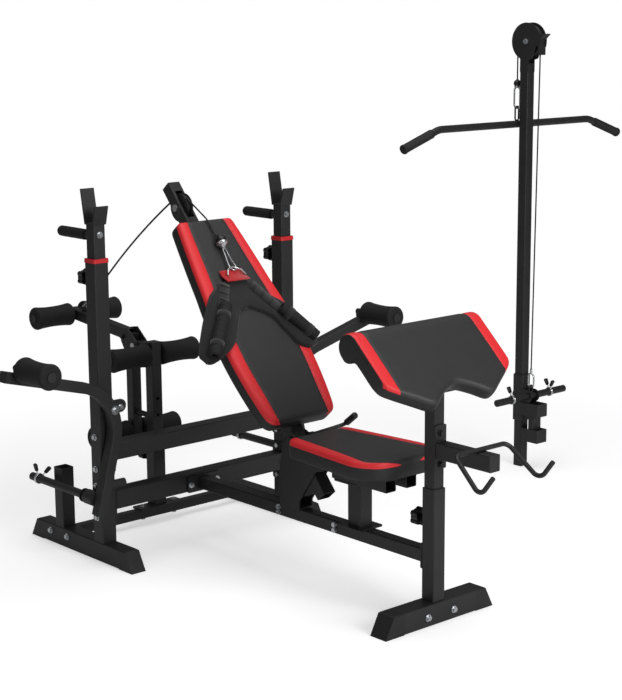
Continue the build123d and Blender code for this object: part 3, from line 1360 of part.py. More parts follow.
lat_wrap = mast_pulley_radius - pulley_groove - 2.5 + cable_radius + side_gap
with BuildPart() as lat_cable_arc:
    with BuildSketch(Plane.XY.offset(mast_pulley_z)):
        with Locations((mast_pulley_x + lat_wrap, mast_y)):
            Circle(cable_radius)
    revolve(axis=Axis((mast_pulley_x, mast_y, mast_pulley_z), (0, -1, 0)), revolution_arc=180)
lat_cable_arc.part.label = "lat_cable_arc"
export_step(lat_cable_arc.part, "parts/lat_cable_arc.step")
print("lat_cable_arc radius", round(lat_wrap, 1), "length", round(pi * lat_wrap, 1),
      "volume", round(lat_cable_arc.part.volume))

with BuildPart() as mast_pulley:
    pulley_mid = Vector(mast_pulley_x, mast_y, mast_pulley_z)
    with BuildSketch(Plane(origin=pulley_mid, x_dir=(0, 1, 0), z_dir=(1, 0, 0))):
        pulley_profile(mast_pulley_radius, mast_pulley_width, mast_axle_radius + pin_gap)
    revolve(axis=Axis(pulley_mid, (0, 1, 0)))
mast_pulley.part.label = "mast_pulley"
export_step(mast_pulley.part, "parts/mast_pulley.step")

bar_x = mast_pulley_x - lat_wrap
with BuildPart() as lat_clip:
    hook_length = ball_z - ball_radius - lat_hook_low + hook_bar
    lat_plane = Plane(origin=(bar_x, mast_y, ball_z), z_dir=(0, 0, 1))
    add(snap_hook(hook_length, ball_radius).moved(Location(lat_plane)))
lat_clip.part.label = "lat_clip"
export_step(lat_clip.part, "parts/lat_clip.step")

with BuildPart() as lat_cable:
    with BuildSketch(Plane.XY.offset(ball_z + ball_radius + 2)):
        with Locations((bar_x, mast_y)):
            Circle(cable_radius)
    extrude(amount=mast_pulley_z - side_gap - ball_z - ball_radius - 2)
lat_cable.part.label = "lat_cable"
export_step(lat_cable.part, "parts/lat_cable.step")

with BuildPart() as lat_bar:
    bar_points = [(bar_x, mast_y - bar_bend_y, bar_bend_z), (bar_x, mast_y - bar_half, bar_z),
                  (bar_x, mast_y + bar_half, bar_z), (bar_x, mast_y + bar_bend_y, bar_bend_z)]
    with BuildLine() as bar_route:
        FilletPolyline(*bar_points, radius=90)
    with BuildSketch(Plane(origin=bar_route.line @ 0, z_dir=bar_route.line % 0)):
        Circle(bar_radius)
    sweep()
    link_low = bar_z + bar_radius - 3
    link_top = lat_hook_low + hook_bar + side_gap
    link = hook_ring(link_top + hook_bar / 2 - link_low, link_width, hook_bar)
    add(link.moved(Location(Plane(origin=(bar_x, mast_y, link_low), x_dir=(0, 1, 0), z_dir=(0, 0, 1)))))
lat_bar.part.label = "lat_bar"
export_step(lat_bar.part, "parts/lat_bar.step")

with BuildPart() as lat_grips:
    for sign in (-1, 1):
        bar_tip = Vector(bar_x, mast_y + sign * bar_bend_y, bar_bend_z)
        grip_dir = (bar_tip - Vector(bar_x, mast_y + sign * bar_half, bar_z)).normalized()
        grip_start = bar_tip - grip_dir * bar_grip_length
        with BuildSketch(Plane(origin=grip_start, z_dir=grip_dir)):
            Circle(bar_grip_radius)
        extrude(amount=bar_grip_length + 4)
        with BuildSketch(Plane(origin=grip_start, z_dir=grip_dir)):
            Circle(bar_radius + pin_gap)
        extrude(amount=bar_grip_length + side_gap, mode=Mode.SUBTRACT)
lat_grips.part.label = "lat_grips"
export_step(lat_grips.part, "parts/lat_grips.step")

# ================================================================ plate carriage on the mast
sleeve_inner = mast_size + 2 * slide_gap
sleeve_outer = sleeve_inner + 2 * carriage_wall
sleeve_face = mast_x + sleeve_outer / 2
carriage_cable_x = mast_pulley_x + lat_wrap
with BuildPart() as carriage:
    with BuildSketch(Plane.XY.offset(carriage_low)):
        with Locations((mast_x, mast_y)):
            RectangleRounded(sleeve_outer, sleeve_outer, 5)
            Rectangle(sleeve_inner, sleeve_inner, mode=Mode.SUBTRACT)
    extrude(amount=carriage_high - carriage_low)
    for plate_low, plate_high, plate_rear in bracket_plates:
        for sign in (-1, 1):
            with BuildSketch(Plane.XZ.offset(-mast_y - sign * sleeve_outer / 2)):
                with Locations(((plate_rear + bracket_end) / 2, (plate_low + plate_high) / 2)):
                    Rectangle(bracket_end - plate_rear, plate_high - plate_low)
            extrude(amount=-sign * carriage_wall)
        with BuildSketch(Plane.YZ.offset(bracket_end)):
            with Locations((mast_y, (plate_low + plate_high) / 2)):
                Rectangle(sleeve_outer + 2 * carriage_wall, plate_high - plate_low)
        extrude(amount=-carriage_wall)
    with BuildSketch(Plane.XY.offset(bracket_plates[1][0] + 8)):
        with Locations((link_block_x, mast_y)):
            box_section(link_block_depth, sleeve_outer, wall=carriage_wall)
    extrude(amount=bracket_plates[0][1] - bracket_plates[1][0] - 16)
    for sign in (-1, 1):
        with BuildSketch(Plane.XZ.offset(-mast_y - sign * (sleeve_outer / 2 - carriage_wall - 1))):
            with Locations(((sleeve_face + spindle_x) / 2, spindle_z)):
                Rectangle(spindle_x - sleeve_face + 2, 46)
            with Locations((spindle_x, spindle_z)):
                Circle(23)
        extrude(amount=-sign * carriage_wall)
    with BuildSketch(Plane.XZ.offset(-mast_y - spindle_half)):
        with Locations((spindle_x, spindle_z)):
            Circle(spindle_radius)
    extrude(amount=2 * spindle_half)
    low_ring = spindle_z + spindle_radius - 3
    ring_top = carriage_hook_low + hook_bar + side_gap
    link = hook_ring(ring_top + hook_bar / 2 - low_ring, link_width, hook_bar)
    add(link.moved(Location(Plane(origin=(spindle_x, mast_y, low_ring), x_dir=(0, 1, 0), z_dir=(0, 0, 1)))))
carriage.part.label = "carriage"
export_step(carriage.part, "parts/carriage.step")

cable_foot = Vector(spindle_x, mast_y, carriage_hook_top)
cable_head = Vector(carriage_cable_x, mast_y, mast_pulley_z - side_gap)
cable_rise = (cable_head - cable_foot).normalized()
with BuildPart() as carriage_cable:
    with BuildSketch(Plane(origin=cable_foot, z_dir=cable_rise)):
        Circle(cable_radius)
    extrude(amount=(cable_head - cable_foot).length - side_gap)
carriage_cable.part.label = "carriage_cable"
export_step(carriage_cable.part, "parts/carriage_cable.step")

with BuildPart() as carriage_clip:
    ring = hook_ring(carriage_hook_top - 14 - carriage_hook_low + hook_bar / 2, hook_width, hook_bar)
    add(ring.moved(Location((spindle_x, mast_y, carriage_hook_low - hook_bar / 2))))
    with BuildSketch(Plane(origin=cable_foot, z_dir=cable_rise)):
        Circle(cable_radius + 2)
    extrude(amount=-18)
carriage_clip.part.label = "carriage_clip"
export_step(carriage_clip.part, "parts/carriage_clip.step")

with BuildPart() as spindle_clips:
    for sign in (-1, 1):
        clip_face = mast_y + sign * spindle_clip_y - clip_length / 2
        with BuildSketch(Plane.XZ.offset(-clip_face)):
            with Locations((spindle_x, spindle_z)):
                Circle(spindle_radius + slide_gap + 3.5)
                Circle(spindle_radius + slide_gap, mode=Mode.SUBTRACT)
        extrude(amount=-clip_length)
        for lean in (-26, 26):
            ear = Plane(origin=(spindle_x, clip_face + clip_length / 2, spindle_z), x_dir=(0, 1, 0),
                        z_dir=(sin(radians(lean)), 0, cos(radians(lean))))
            with BuildSketch(ear.offset(spindle_radius + slide_gap + 2)):
                Circle(3)
            extrude(amount=12)
            with BuildSketch(ear.offset(spindle_radius + slide_gap + 12)):
                SlotOverall(20, 9, rotation=90)
            extrude(amount=22)
spindle_clips.part.label = "spindle_clips"
export_step(spindle_clips.part, "parts/spindle_clips.step")

# ================================================================ bolts that hold the frame together
with BuildPart() as frame_bolts:
    for sign in (-1, 1):
        for height in upright_bolts:
            bolt_at(upright_x, sign * (upright_y + upright_size / 2), height, (0, sign, 0),
                    grip=upright_size + plate_thick)
        bolt_at(centre_rear + plate_thick, sign * centre_bolt_pitch / 2, centre_z, (1, 0, 0),
                grip=beam_width + plate_thick)
        bolt_at(front_foot_width / 2, sign * front_bolt_y, front_bolt_z, (1, 0, 0), grip=front_foot_width)
        bolt_at(rear_tube_x, sign * leg_base_bolt_y, leg_base_top, (0, 0, 1), grip=rear_tube_size + plate_thick)
        for step in (-1, 1):
            bolt_at(rear_tube_x + step * rear_bolt_pitch / 2, sign * (upright_y + foot_width / 2), rear_tube_z,
                    (0, sign, 0), grip=foot_width + plate_thick)
            for splice_x in splice_bolts_x:
                if sign < 0:
                    bolt_at(splice_x, -centre_size / 2, centre_z + step * splice_bolt_pitch / 2, (0, -1, 0),
                            grip=centre_size, rim=bolt_head_width / 2 + 1)
frame_bolts.part.label = "frame_bolts"
export_step(frame_bolts.part, "parts/frame_bolts.step")
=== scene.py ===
import math

import bpy
from mathutils import Matrix, Vector, noise


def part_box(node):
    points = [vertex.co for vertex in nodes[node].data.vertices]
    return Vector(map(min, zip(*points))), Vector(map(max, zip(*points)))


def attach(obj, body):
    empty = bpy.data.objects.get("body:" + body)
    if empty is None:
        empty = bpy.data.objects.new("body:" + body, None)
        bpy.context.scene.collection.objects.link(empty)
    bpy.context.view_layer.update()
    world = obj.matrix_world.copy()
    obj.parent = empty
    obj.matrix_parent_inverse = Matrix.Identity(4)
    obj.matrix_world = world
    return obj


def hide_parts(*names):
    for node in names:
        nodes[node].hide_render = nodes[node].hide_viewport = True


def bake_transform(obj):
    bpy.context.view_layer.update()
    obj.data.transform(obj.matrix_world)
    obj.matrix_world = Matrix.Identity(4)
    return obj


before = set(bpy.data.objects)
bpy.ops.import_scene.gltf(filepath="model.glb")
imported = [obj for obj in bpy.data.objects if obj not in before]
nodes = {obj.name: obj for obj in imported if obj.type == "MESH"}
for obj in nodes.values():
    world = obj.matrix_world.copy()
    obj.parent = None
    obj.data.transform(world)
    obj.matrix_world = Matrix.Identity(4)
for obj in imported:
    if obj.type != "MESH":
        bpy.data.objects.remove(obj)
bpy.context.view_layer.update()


def linear(hexText, alpha=1.0):
    # sRGB hex to the linear colour that a shader wants
    channels = [int(hexText[i:i + 2], 16) / 255 for i in (0, 2, 4)]
    return [c / 12.92 if c <= 0.04045 else ((c + 0.055) / 1.055) ** 2.4
            for c in channels] + [alpha]


def addNode(tree, kind, settings=None, links=None):
    node = tree.nodes.new(kind)
    for key, value in (settings or {}).items():
        if isinstance(key, int) or key in node.inputs:
            node.inputs[key].default_value = value
        else:
            setattr(node, key, value)
    for key, source in (links or {}).items():
        tree.links.new(source, node.inputs[key])
    return node


def startMaterial(name, settings):
    material = bpy.data.materials.new(name)
    material.use_nodes = True
    tree = material.node_tree
    shader = tree.nodes["Principled BSDF"]
    for key, value in settings.items():
        shader.inputs[key].default_value = value
    place = addNode(tree, "ShaderNodeTexCoord").outputs["Object"]
    return material, tree, shader, place


def perMetre(millimetres):
    # noise scale whose features are about this far apart on coordinates in metres
    return 1000 / millimetres


# ---- finishes

coat = {"light": "262628", "dark": "1a1a1c", "pebble": 2.6, "cloud": 90, "roughness": 0.44}
coatSettings = {"IOR": 1.5, "Roughness": coat["roughness"]}
paint, tree, shader, place = startMaterial("powderCoatedSteel", coatSettings)
# polyester powder baked on steel: satin, with a pebble drawn coarser than the real 0.3 mm
cloud = addNode(tree, "ShaderNodeTexNoise", {"Scale": perMetre(coat["cloud"]), "Detail": 3.0},
                {"Vector": place})
tone = addNode(tree, "ShaderNodeMix",
               {"data_type": "RGBA", 6: linear(coat["dark"]), 7: linear(coat["light"])},
               {0: cloud.outputs["Fac"]})
tree.links.new(tone.outputs[2], shader.inputs["Base Color"])
pebble = addNode(tree, "ShaderNodeTexNoise", {"Scale": perMetre(coat["pebble"]), "Detail": 2.0},
                 {"Vector": place})
spread = addNode(tree, "ShaderNodeMapRange", {"To Min": 0.4, "To Max": 0.54},
                 {"Value": pebble.outputs["Fac"]})
tree.links.new(spread.outputs[0], shader.inputs["Roughness"])
skin = addNode(tree, "ShaderNodeBump", {"Strength": 0.12, "Distance": 0.0006},
               {"Height": pebble.outputs["Fac"]})
tree.links.new(skin.outputs[0], shader.inputs["Normal"])

vinylLook = {"charcoal": ("2e2e2f", "272728"), "red": ("f42a32", "ea232b"),
             "edge": ("181819", "121213"),
             "grain": 2.4, "roughness": 0.5}


def makeVinyl(name, shades, look):
    # PVC leathercloth, embossed with a leather grain: soft sheen with a broken highlight
    settings = {"IOR": 1.52, "Roughness": look["roughness"], "Coat Weight": 0.06,
                "Coat Roughness": 0.35}
    material, tree, shader, place = startMaterial(name, settings)
    grain = addNode(tree, "ShaderNodeTexVoronoi",
                    {"feature": "DISTANCE_TO_EDGE", "Scale": perMetre(look["grain"])},
                    {"Vector": place})
    crease = addNode(tree, "ShaderNodeMapRange", {"From Max": 0.16},
                     {"Value": grain.outputs["Distance"]})
    cloud = addNode(tree, "ShaderNodeTexNoise", {"Scale": perMetre(60), "Detail": 4.0},
                    {"Vector": place})
    tone = addNode(tree, "ShaderNodeMix",
                   {"data_type": "RGBA", 6: linear(shades[1]), 7: linear(shades[0])},
                   {0: cloud.outputs["Fac"]})
    # painted shade: the base colour is made up to 16% darker along the grain's creases, where the
    # bump sinks the surface
    paintedCreaseShade = addNode(tree, "ShaderNodeMix", {"data_type": "RGBA", "blend_type": "MULTIPLY", 0: 0.16,
                                            6: linear("ffffff")},
                    {6: tone.outputs[2], 7: crease.outputs[0]})
    tree.links.new(paintedCreaseShade.outputs[2], shader.inputs["Base Color"])
    skin = addNode(tree, "ShaderNodeBump", {"Strength": 0.22, "Distance": 0.0007},
                   {"Height": crease.outputs[0]})
    tree.links.new(skin.outputs[0], shader.inputs["Normal"])
    return material


vinylCharcoal = makeVinyl("charcoalLeathercloth", vinylLook["charcoal"], vinylLook)
vinylRed = makeVinyl("redLeathercloth", vinylLook["red"], vinylLook)
vinylEdge = makeVinyl("blackLeathercloth", vinylLook["edge"], vinylLook)


def makeMoulded(name, shades, roughness, texture, strength):
    # a moulded or foamed plastic: two close shades, one surface texture sized in millimetres
    material, tree, shader, place = startMaterial(name, {"IOR": 1.5, "Roughness": roughness})
    speck = addNode(tree, "ShaderNodeTexNoise",
                    {"Scale": perMetre(texture), "Detail": 4.0, "Roughness": 0.65},
                    {"Vector": place})
    tone = addNode(tree, "ShaderNodeMix",
                   {"data_type": "RGBA", 6: linear(shades[0]), 7: linear(shades[1])},
                   {0: speck.outputs["Fac"]})
    tree.links.new(tone.outputs[2], shader.inputs["Base Color"])
    rough = addNode(tree, "ShaderNodeMapRange",
                    {"To Min": roughness - 0.07, "To Max": roughness + 0.07},
                    {"Value": speck.outputs["Fac"]})
    tree.links.new(rough.outputs[0], shader.inputs["Roughness"])
    skin = addNode(tree, "ShaderNodeBump", {"Strength": strength, "Distance": 0.001},
                   {"Height": speck.outputs["Fac"]})
    tree.links.new(skin.outputs[0], shader.inputs["Normal"])
    return material


# matt, slightly pitted foam; grip rubber with a faint bloom; glossy knobs; spark-eroded caps;
# machined bushes; waxy nylon; the glossy extruded skin of a cable
foamRubber = makeMoulded("closedCellFoam", ("0e0e0f", "161617"), 0.8, 3.0, 0.35)
gripRubber = makeMoulded("mouldedGripRubber", ("111112", "1a1a1b"), 0.62, 4.0, 0.15)
knobPlastic = makeMoulded("polishedAbs", ("101011", "18181a"), 0.3, 12.0, 0.05)
capPlastic = makeMoulded("polypropylene", ("151517", "1f1f21"), 0.48, 3.0, 0.1)
bushPlastic = makeMoulded("redAcetal", ("c81b22", "d8252b"), 0.42, 6.0, 0.05)
pulleyNylon = makeMoulded("blackNylon", ("141415", "202022"), 0.42, 5.0, 0.08)
cablePvc = makeMoulded("pvcCoatedCable", ("0c0c0d", "131314"), 0.34, 5.0, 0.1)


def makeMetal(name, shades, roughness, scratch):
    # zinc plate on steel: bright, slightly milky, with fine random wear
    material, tree, shader, place = startMaterial(name, {"Metallic": 1.0, "Roughness": roughness})
    wear = addNode(tree, "ShaderNodeTexNoise", {"Scale": perMetre(scratch), "Detail": 5.0},
                   {"Vector": place})
    tone = addNode(tree, "ShaderNodeMix",
                   {"data_type": "RGBA", 6: linear(shades[0]), 7: linear(shades[1])},
                   {0: wear.outputs["Fac"]})
    tree.links.new(tone.outputs[2], shader.inputs["Base Color"])
    rough = addNode(tree, "ShaderNodeMapRange",
                    {"To Min": roughness - 0.08, "To Max": roughness + 0.1},
                    {"Value": wear.outputs["Fac"]})
    tree.links.new(rough.outputs[0], shader.inputs["Roughness"])
    return material


zincPlate = makeMetal("zincPlatedSteel", ("b9bcc0", "e2e4e6"), 0.26, 6.0)


def makeWoven(name, shades, thread, strength):
    # woven polyester: crossed threads, spacing in millimetres, drawn coarse enough to show
    settings = {"IOR": 1.5, "Roughness": 0.85, "Sheen Weight": 0.25, "Sheen Roughness": 0.5}
    material, tree, shader, place = startMaterial(name, settings)
    lengthwise = addNode(tree, "ShaderNodeTexWave",
                         {"bands_direction": "Y", "Scale": perMetre(thread) / 2,
                                                     "Distortion": 0.6}, {"Vector": place})
    across = addNode(tree, "ShaderNodeTexWave",
                     {"bands_direction": "DIAGONAL", "Scale": perMetre(thread) / 2,
                                                 "Distortion": 0.6}, {"Vector": place})
    weave = addNode(tree, "ShaderNodeMath", {"operation": "MULTIPLY"},
                    {0: lengthwise.outputs["Fac"], 1: across.outputs["Fac"]})
    tone = addNode(tree, "ShaderNodeMix",
                   {"data_type": "RGBA", 6: linear(shades[0]), 7: linear(shades[1])},
                   {0: weave.outputs[0]})
    tree.links.new(tone.outputs[2], shader.inputs["Base Color"])
    skin = addNode(tree, "ShaderNodeBump", {"Strength": strength, "Distance": 0.0008},
                   {"Height": weave.outputs[0]})
    tree.links.new(skin.outputs[0], shader.inputs["Normal"])
    return material


webbing = makeWoven("polyesterWebbing", ("161617", "2b2b2d"), 3.0, 0.4)
redWebbing = makeWoven("redPolyesterWebbing", ("b0161d", "e42831"), 3.0, 0.4)
neoprene = makeWoven("knitFacedNeoprene", ("070708", "0f0f10"), 2.2, 0.25)
print("finishes made:", len(bpy.data.materials))

# ---- carried-over steel and plastic

nodeFinish = {name: paint for name in nodes}
for finish, names in (
        (capPlastic, ("foot_caps",)),
        (knobPlastic, ("rack_knob_left", "rack_knob_right", "preacher_knob", "leg_post_knob")),
        (pulleyNylon, ("spine_pulley", "mast_pulley")),
        (bushPlastic, ("upright_collars",)),
        (zincPlate, ("frame_bolts", "lever_clip", "carriage_clip")),
        (cablePvc, ("lat_cable_arc", "harness_cable_front"))):
    nodeFinish.update(dict.fromkeys(names, finish))
for name, finish in nodeFinish.items():
    mesh = nodes[name].data
    mesh.materials.clear()
    mesh.materials.append(finish)
print("finishes on the carried-over nodes")

# ---- mesh helpers


def settle(piece, body, stands):
    # the body that carries the piece and the nodes it stands for
    if body:
        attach(piece, body)
    if stands:
        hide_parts(*stands)
    return piece


def addPiece(name, points, faces, finishes, body, faceFinish=None, stands=(),
             smoothLevel=0):
    mesh = bpy.data.meshes.new(name)
    mesh.from_pydata([tuple(p) for p in points], [], faces)
    for finish in finishes:
        mesh.materials.append(finish)
    if faceFinish:
        mesh.polygons.foreach_set("material_index", faceFinish)
    mesh.polygons.foreach_set("use_smooth", [True] * len(mesh.polygons))
    mesh.update()
    piece = bpy.data.objects.new(name, mesh)
    bpy.context.scene.collection.objects.link(piece)
    if smoothLevel:
        rounding = piece.modifiers.new("rounding", "SUBSURF")
        rounding.levels = smoothLevel
        rounding.render_levels = smoothLevel
    return settle(piece, body, stands)


def gridFaces(rows, columns, start=0, wrap=False, flip=False):
    faces = []
    for i in range(rows - 1):
        for j in range(columns if wrap else columns - 1):
            k = (j + 1) % columns
            face = (start + i * columns + j, start + i * columns + k,
                    start + (i + 1) * columns + k, start + (i + 1) * columns + j)
            faces.append(face[::-1] if flip else face)
    return faces


def between(table, x):
    # straight-line value from a list of (x, value)
    if x <= table[0][0]:
        return table[0][1]
    for (x0, v0), (x1, v1) in zip(table, table[1:]):
        if x <= x1:
            return v0 + (v1 - v0) * (x - x0) / (x1 - x0)
    return table[-1][1]


def turned(name, profile, centre, axis, finish, body, stands=(), sides=40,
           ripple=0.0, seed=0.0, smoothLevel=0):
    # profile is (along, radius) in metres, walked from bore to bore round the outside
    axis = Vector(axis).normalized()
    side = axis.orthogonal().normalized()
    lift = axis.cross(side)
    centre = Vector(centre)
    points = []
    for along, radius in profile:
        for k in range(sides):
            turn = 2 * math.pi * k / sides
            wander = 1.0
            if ripple and radius > 0.6 * max(r for _, r in profile):
                where = Vector((along * 26 + seed, math.cos(turn) * 1.3, math.sin(turn) * 1.3))
                wander += ripple * noise.noise(where)
            spoke = side * math.cos(turn) + lift * math.sin(turn)
            points.append(centre + axis * along + spoke * radius * wander)
    faces = gridFaces(len(profile), sides, wrap=True)
    return addPiece(name, points, faces, [finish], body, stands=stands,
                    smoothLevel=smoothLevel)


def wire(name, points, radius, finish, body=None, cyclic=False, stands=(), steps=8):
    # round wire on a smooth curve, turned into a mesh
    curve = bpy.data.curves.new(name, "CURVE")
    curve.dimensions = "3D"
    curve.bevel_depth = radius
    curve.bevel_resolution = 3
    curve.resolution_u = steps
    curve.use_fill_caps = True
    spline = curve.splines.new("NURBS")
    spline.points.add(len(points) - 1)
    for knot, point in zip(spline.points, points):
        knot.co = (*point, 1.0)
    spline.use_cyclic_u = cyclic
    spline.order_u = min(4, len(points))
    spline.use_endpoint_u = not cyclic
    holder = bpy.data.objects.new(name + "Curve", curve)
    bpy.context.scene.collection.objects.link(holder)
    view = bpy.context.evaluated_depsgraph_get()
    mesh = bpy.data.meshes.new_from_object(holder.evaluated_get(view))
    bpy.data.objects.remove(holder)
    mesh.name = name
    mesh.materials.clear()
    mesh.materials.append(finish)
    mesh.polygons.foreach_set("use_smooth", [True] * len(mesh.polygons))
    piece = bpy.data.objects.new(name, mesh)
    bpy.context.scene.collection.objects.link(piece)
    return settle(piece, body, stands)


# ---- cushions

backPlane = {"pivot": Vector((-0.55, 0, 0.402)), "angle": 49.8, "foot": 34}
seatFoot = {"x": -472, "z": 385}
lean = math.radians(backPlane["angle"])
along = Vector((-math.cos(lean), 0, math.sin(lean)))
outward = Vector((math.sin(lean), 0, math.cos(lean)))


def onBack(y, s, n):
    # y across, s up the cushion from its foot, n out of the spine, in millimetres
    rise = along * (s + backPlane["foot"]) / 1000
    return backPlane["pivot"] + rise + outward * n / 1000 + Vector((0, y / 1000, 0))


def onSeat(y, s, n):
    return Vector(((seatFoot["x"] + s) / 1000, y / 1000, (seatFoot["z"] + n) / 1000))


def rimDrop(distance, rim):
    if distance >= rim:
        return 0.0
    return rim - math.sqrt(max(rim * rim - (rim - distance) ** 2, 0.0))


seamInset, seamWidth = 14, 3.0
centreShares = [-1, -0.985, -0.95, -0.86, -0.7, -0.5, -0.25, 0, 0.25, 0.5, 0.7, 0.86, 0.95, 0.985,
                1]
flankShares = [0.03, 0.1, 0.25, 0.45, 0.65, 0.8, 0.9, 0.96, 1.0]


def sewnAt(look, s):
    # half the cushion's width and the seam's distance from the middle
    half = between(look["width"], s)
    return half, min(between(look["seam"], s), half - seamInset)


def placesAcross(look, s):
    half, seam = sewnAt(look, s)
    ys = [-(seam + (half - seam) * t) for t in reversed(flankShares)]
    ys += [seam * t for t in centreShares]
    return ys + [seam + (half - seam) * t for t in flankShares]


def skinLevel(look, y, s, half, gap):
    # the top's height with its rim, crown and sewn groove, and the distance to the nearest edge
    length = look["width"][-1][0]
    edge = min(half - abs(y), s, length - s)
    share = min(max(s / length, 0.02), 0.98)
    level = look["top"] - rimDrop(edge, look["rim"])
    level += look["crown"] * ((1 - (y / half) ** 2) * math.sin(math.pi * share) ** 0.5)
    level -= look["groove"] * math.exp(-(gap / seamWidth) ** 2) * min(1, edge / 12)
    return level, edge


def cushion(name, look, place, body, node):
    # crowned top in three panels with sewn seams between them, side band, board underneath
    length = look["width"][-1][0]
    stations = look["stations"]
    rows, columns = len(stations), 2 * len(flankShares) + len(centreShares)
    points = []
    for s in stations:
        half, seam = sewnAt(look, s)
        for y in placesAcross(look, s):
            gap = abs(abs(y) - seam)
            level, edge = skinLevel(look, y, s, half, gap)
            if abs(y) > seam:
                swell = math.sin(math.pi * min(1, gap / max(half - seam, 1)))
                level += look["puff"] * swell * min(1, edge / 20)
            points.append(place(y, s, level))
    faces = gridFaces(rows, columns)
    panels = []
    for i in range(rows - 1):
        for j in range(columns - 1):
            isCentre = len(flankShares) <= j < columns - 1 - len(flankShares)
            panels.append(0 if isCentre else 1)
    # band round the side, bulging a little, then the board
    ring = [(i, 0) for i in range(rows)] + [(rows - 1, j) for j in range(1, columns)]
    ring += [(i, columns - 1) for i in range(rows - 2, -1, -1)]
    ring += [(0, j) for j in range(columns - 2, 0, -1)]
    lastRing = [i * columns + j for i, j in ring]
    bandTop = look["top"] - look["rim"]
    for depth, bulge in ((0.62, 1.2), (0.35, 1.4), (0.1, 0.2), (0.0, -3.0)):
        start = len(points)
        for i, j in ring:
            s = stations[i]
            y = placesAcross(look, s)[j]
            if j in (0, columns - 1):
                y *= 1 + bulge / sewnAt(look, s)[0]
            sGrown = s - bulge if i == 0 else s + bulge if i == rows - 1 else s
            points.append(place(y, sGrown, look["base"] + (bandTop - look["base"]) * depth))
        here = list(range(start, start + len(ring)))
        for k in range(len(ring)):
            m = (k + 1) % len(ring)
            faces.append((lastRing[k], lastRing[m], here[m], here[k]))
            panels.append(2)
        lastRing = here
    # board: a grid that shares the last ring's corners
    lookup = dict(zip(ring, lastRing))
    for i in range(rows):
        for j in range(columns):
            if (i, j) not in lookup:
                s = stations[i]
                half = between(look["width"], s) - 3
                y = -half + 2 * half * j / (columns - 1)
                lookup[(i, j)] = len(points)
                points.append(place(y, s, look["base"]))
    for i in range(rows - 1):
        for j in range(columns - 1):
            faces.append((lookup[(i, j)], lookup[(i + 1, j)],
                          lookup[(i + 1, j + 1)], lookup[(i, j + 1)]))
            panels.append(2)
    piece = addPiece(name, points, faces, [vinylCharcoal, vinylRed, vinylEdge], body,
                     faceFinish=panels, stands=(node,), smoothLevel=1)
    # topstitching beside the seams: short ridges of thread
    dashes = []
    marks = []
    for side in (-1, 1):
        for offset in (-3.4, 3.4):
            s = 14.0
            while s < length - 14:
                first = len(marks)
                for t in (s, s + look["stitch"] * 0.6):
                    half, seam = sewnAt(look, t)
                    y = side * (seam + offset)
                    n = skinLevel(look, y, t, half, offset)[0] + 0.25
                    marks += [place(y - 0.45, t, n - 0.5), place(y, t, n + 0.35),
                              place(y + 0.45, t, n - 0.5)]
                dashes += [(first, first + 1, first + 4, first + 3),
                           (first + 1, first + 2, first + 5, first + 4)]
                s += look["stitch"]
    addPiece(name + "Stitching", marks, dashes, [webbing], body)


backLook = {
    "width": [(0, 100), (1.5, 106.3), (4, 112.1), (9, 119.2), (16, 125.2), (25, 129.4), (33, 131),
              (56, 135.2), (80, 139.1), (120, 144.4), (160, 148.3), (205, 151), (250, 151.9),
              (300, 150.8), (350, 147.6), (400, 142.1), (452, 134), (500, 129.2), (540, 124.8),
              (580, 120), (620, 114.9), (655, 110), (683, 106), (692, 103.3), (697, 98.8),
              (700, 93.3), (701, 88.4)],
    "seam": [(0, 94), (34, 96), (61, 98), (88, 99), (110, 101), (129, 104), (156, 106),
             (184, 108), (215, 110), (300, 107), (400, 99), (460, 94), (488, 89), (517, 86),
             (545, 84), (574, 81), (600, 78), (630, 76), (660, 73), (689, 69), (706, 66)],
    "stations": [0, 0.8, 2.5, 5, 9, 14, 22, 33, 50, 75, 105, 140, 175, 205, 250, 290, 340, 385,
                 420, 452, 480, 510, 540, 570, 600, 630, 655, 672, 683, 690, 695, 698.5, 700.3,
                 701],
    "top": 71.0, "base": 20.3, "rim": 13.0, "crown": 2.6, "groove": 2.4, "puff": 1.6,
            "stitch": 7.0}
cushion("backrestCushion", backLook, onBack, "backrest", "backrest_pad")

seatLook = {
    "width": [(0, 88), (1, 94), (4, 102), (9, 109), (18, 115), (30, 118), (110, 126.5),
              (200, 136), (260, 142), (294, 145.5), (310, 144), (328, 138), (345, 129.5),
              (358, 120), (370, 106), (377, 92), (381, 78), (383.4, 60), (384, 46)],
    "seam": [(0, 78), (30, 84), (200, 103), (300, 117), (345, 124), (384, 126)],
    "stations": [0, 0.8, 2.5, 5, 9, 14, 22, 32, 50, 80, 110, 150, 200, 240, 270, 294, 312, 328,
                 342, 352, 361, 368, 373, 377, 380, 382, 383.3, 384],
    "top": 53.5, "base": 0.3, "rim": 14.0, "crown": 3.0, "groove": 2.2, "puff": 1.5, "stitch": 7.0}
cushion("seatCushion", seatLook, onSeat, "frame", "seat_pad")
print("cushions sewn")

curlLook = {"half": 237, "seam": 196, "roll": 40, "rollS": 28, "thick": 44, "edge": 15,
            "crown": 2.5,
            "rim": 10, "groove": 2.2, "fall": 43.4, "top": (-0.074, 0, 0.819),
            "outline": [(0, 211), (14, 212.5), (30, 219), (48, 228), (70, 241), (88, 254),
                        (97, 260), (106, 262), (115, 260.5), (122, 257), (160, 233), (196, 211),
                        (223, 193.5), (231, 186), (235, 176), (237, 164)]}
fall = math.radians(curlLook["fall"])
downPad = Vector((math.cos(fall), 0, -math.sin(fall)))
offPad = Vector((math.sin(fall), 0, math.cos(fall)))


def onCurlPad(y, s, n):
    return (Vector(curlLook["top"]) + Vector((0, y / 1000, 0))
            + downPad * s / 1000 + offPad * n / 1000)


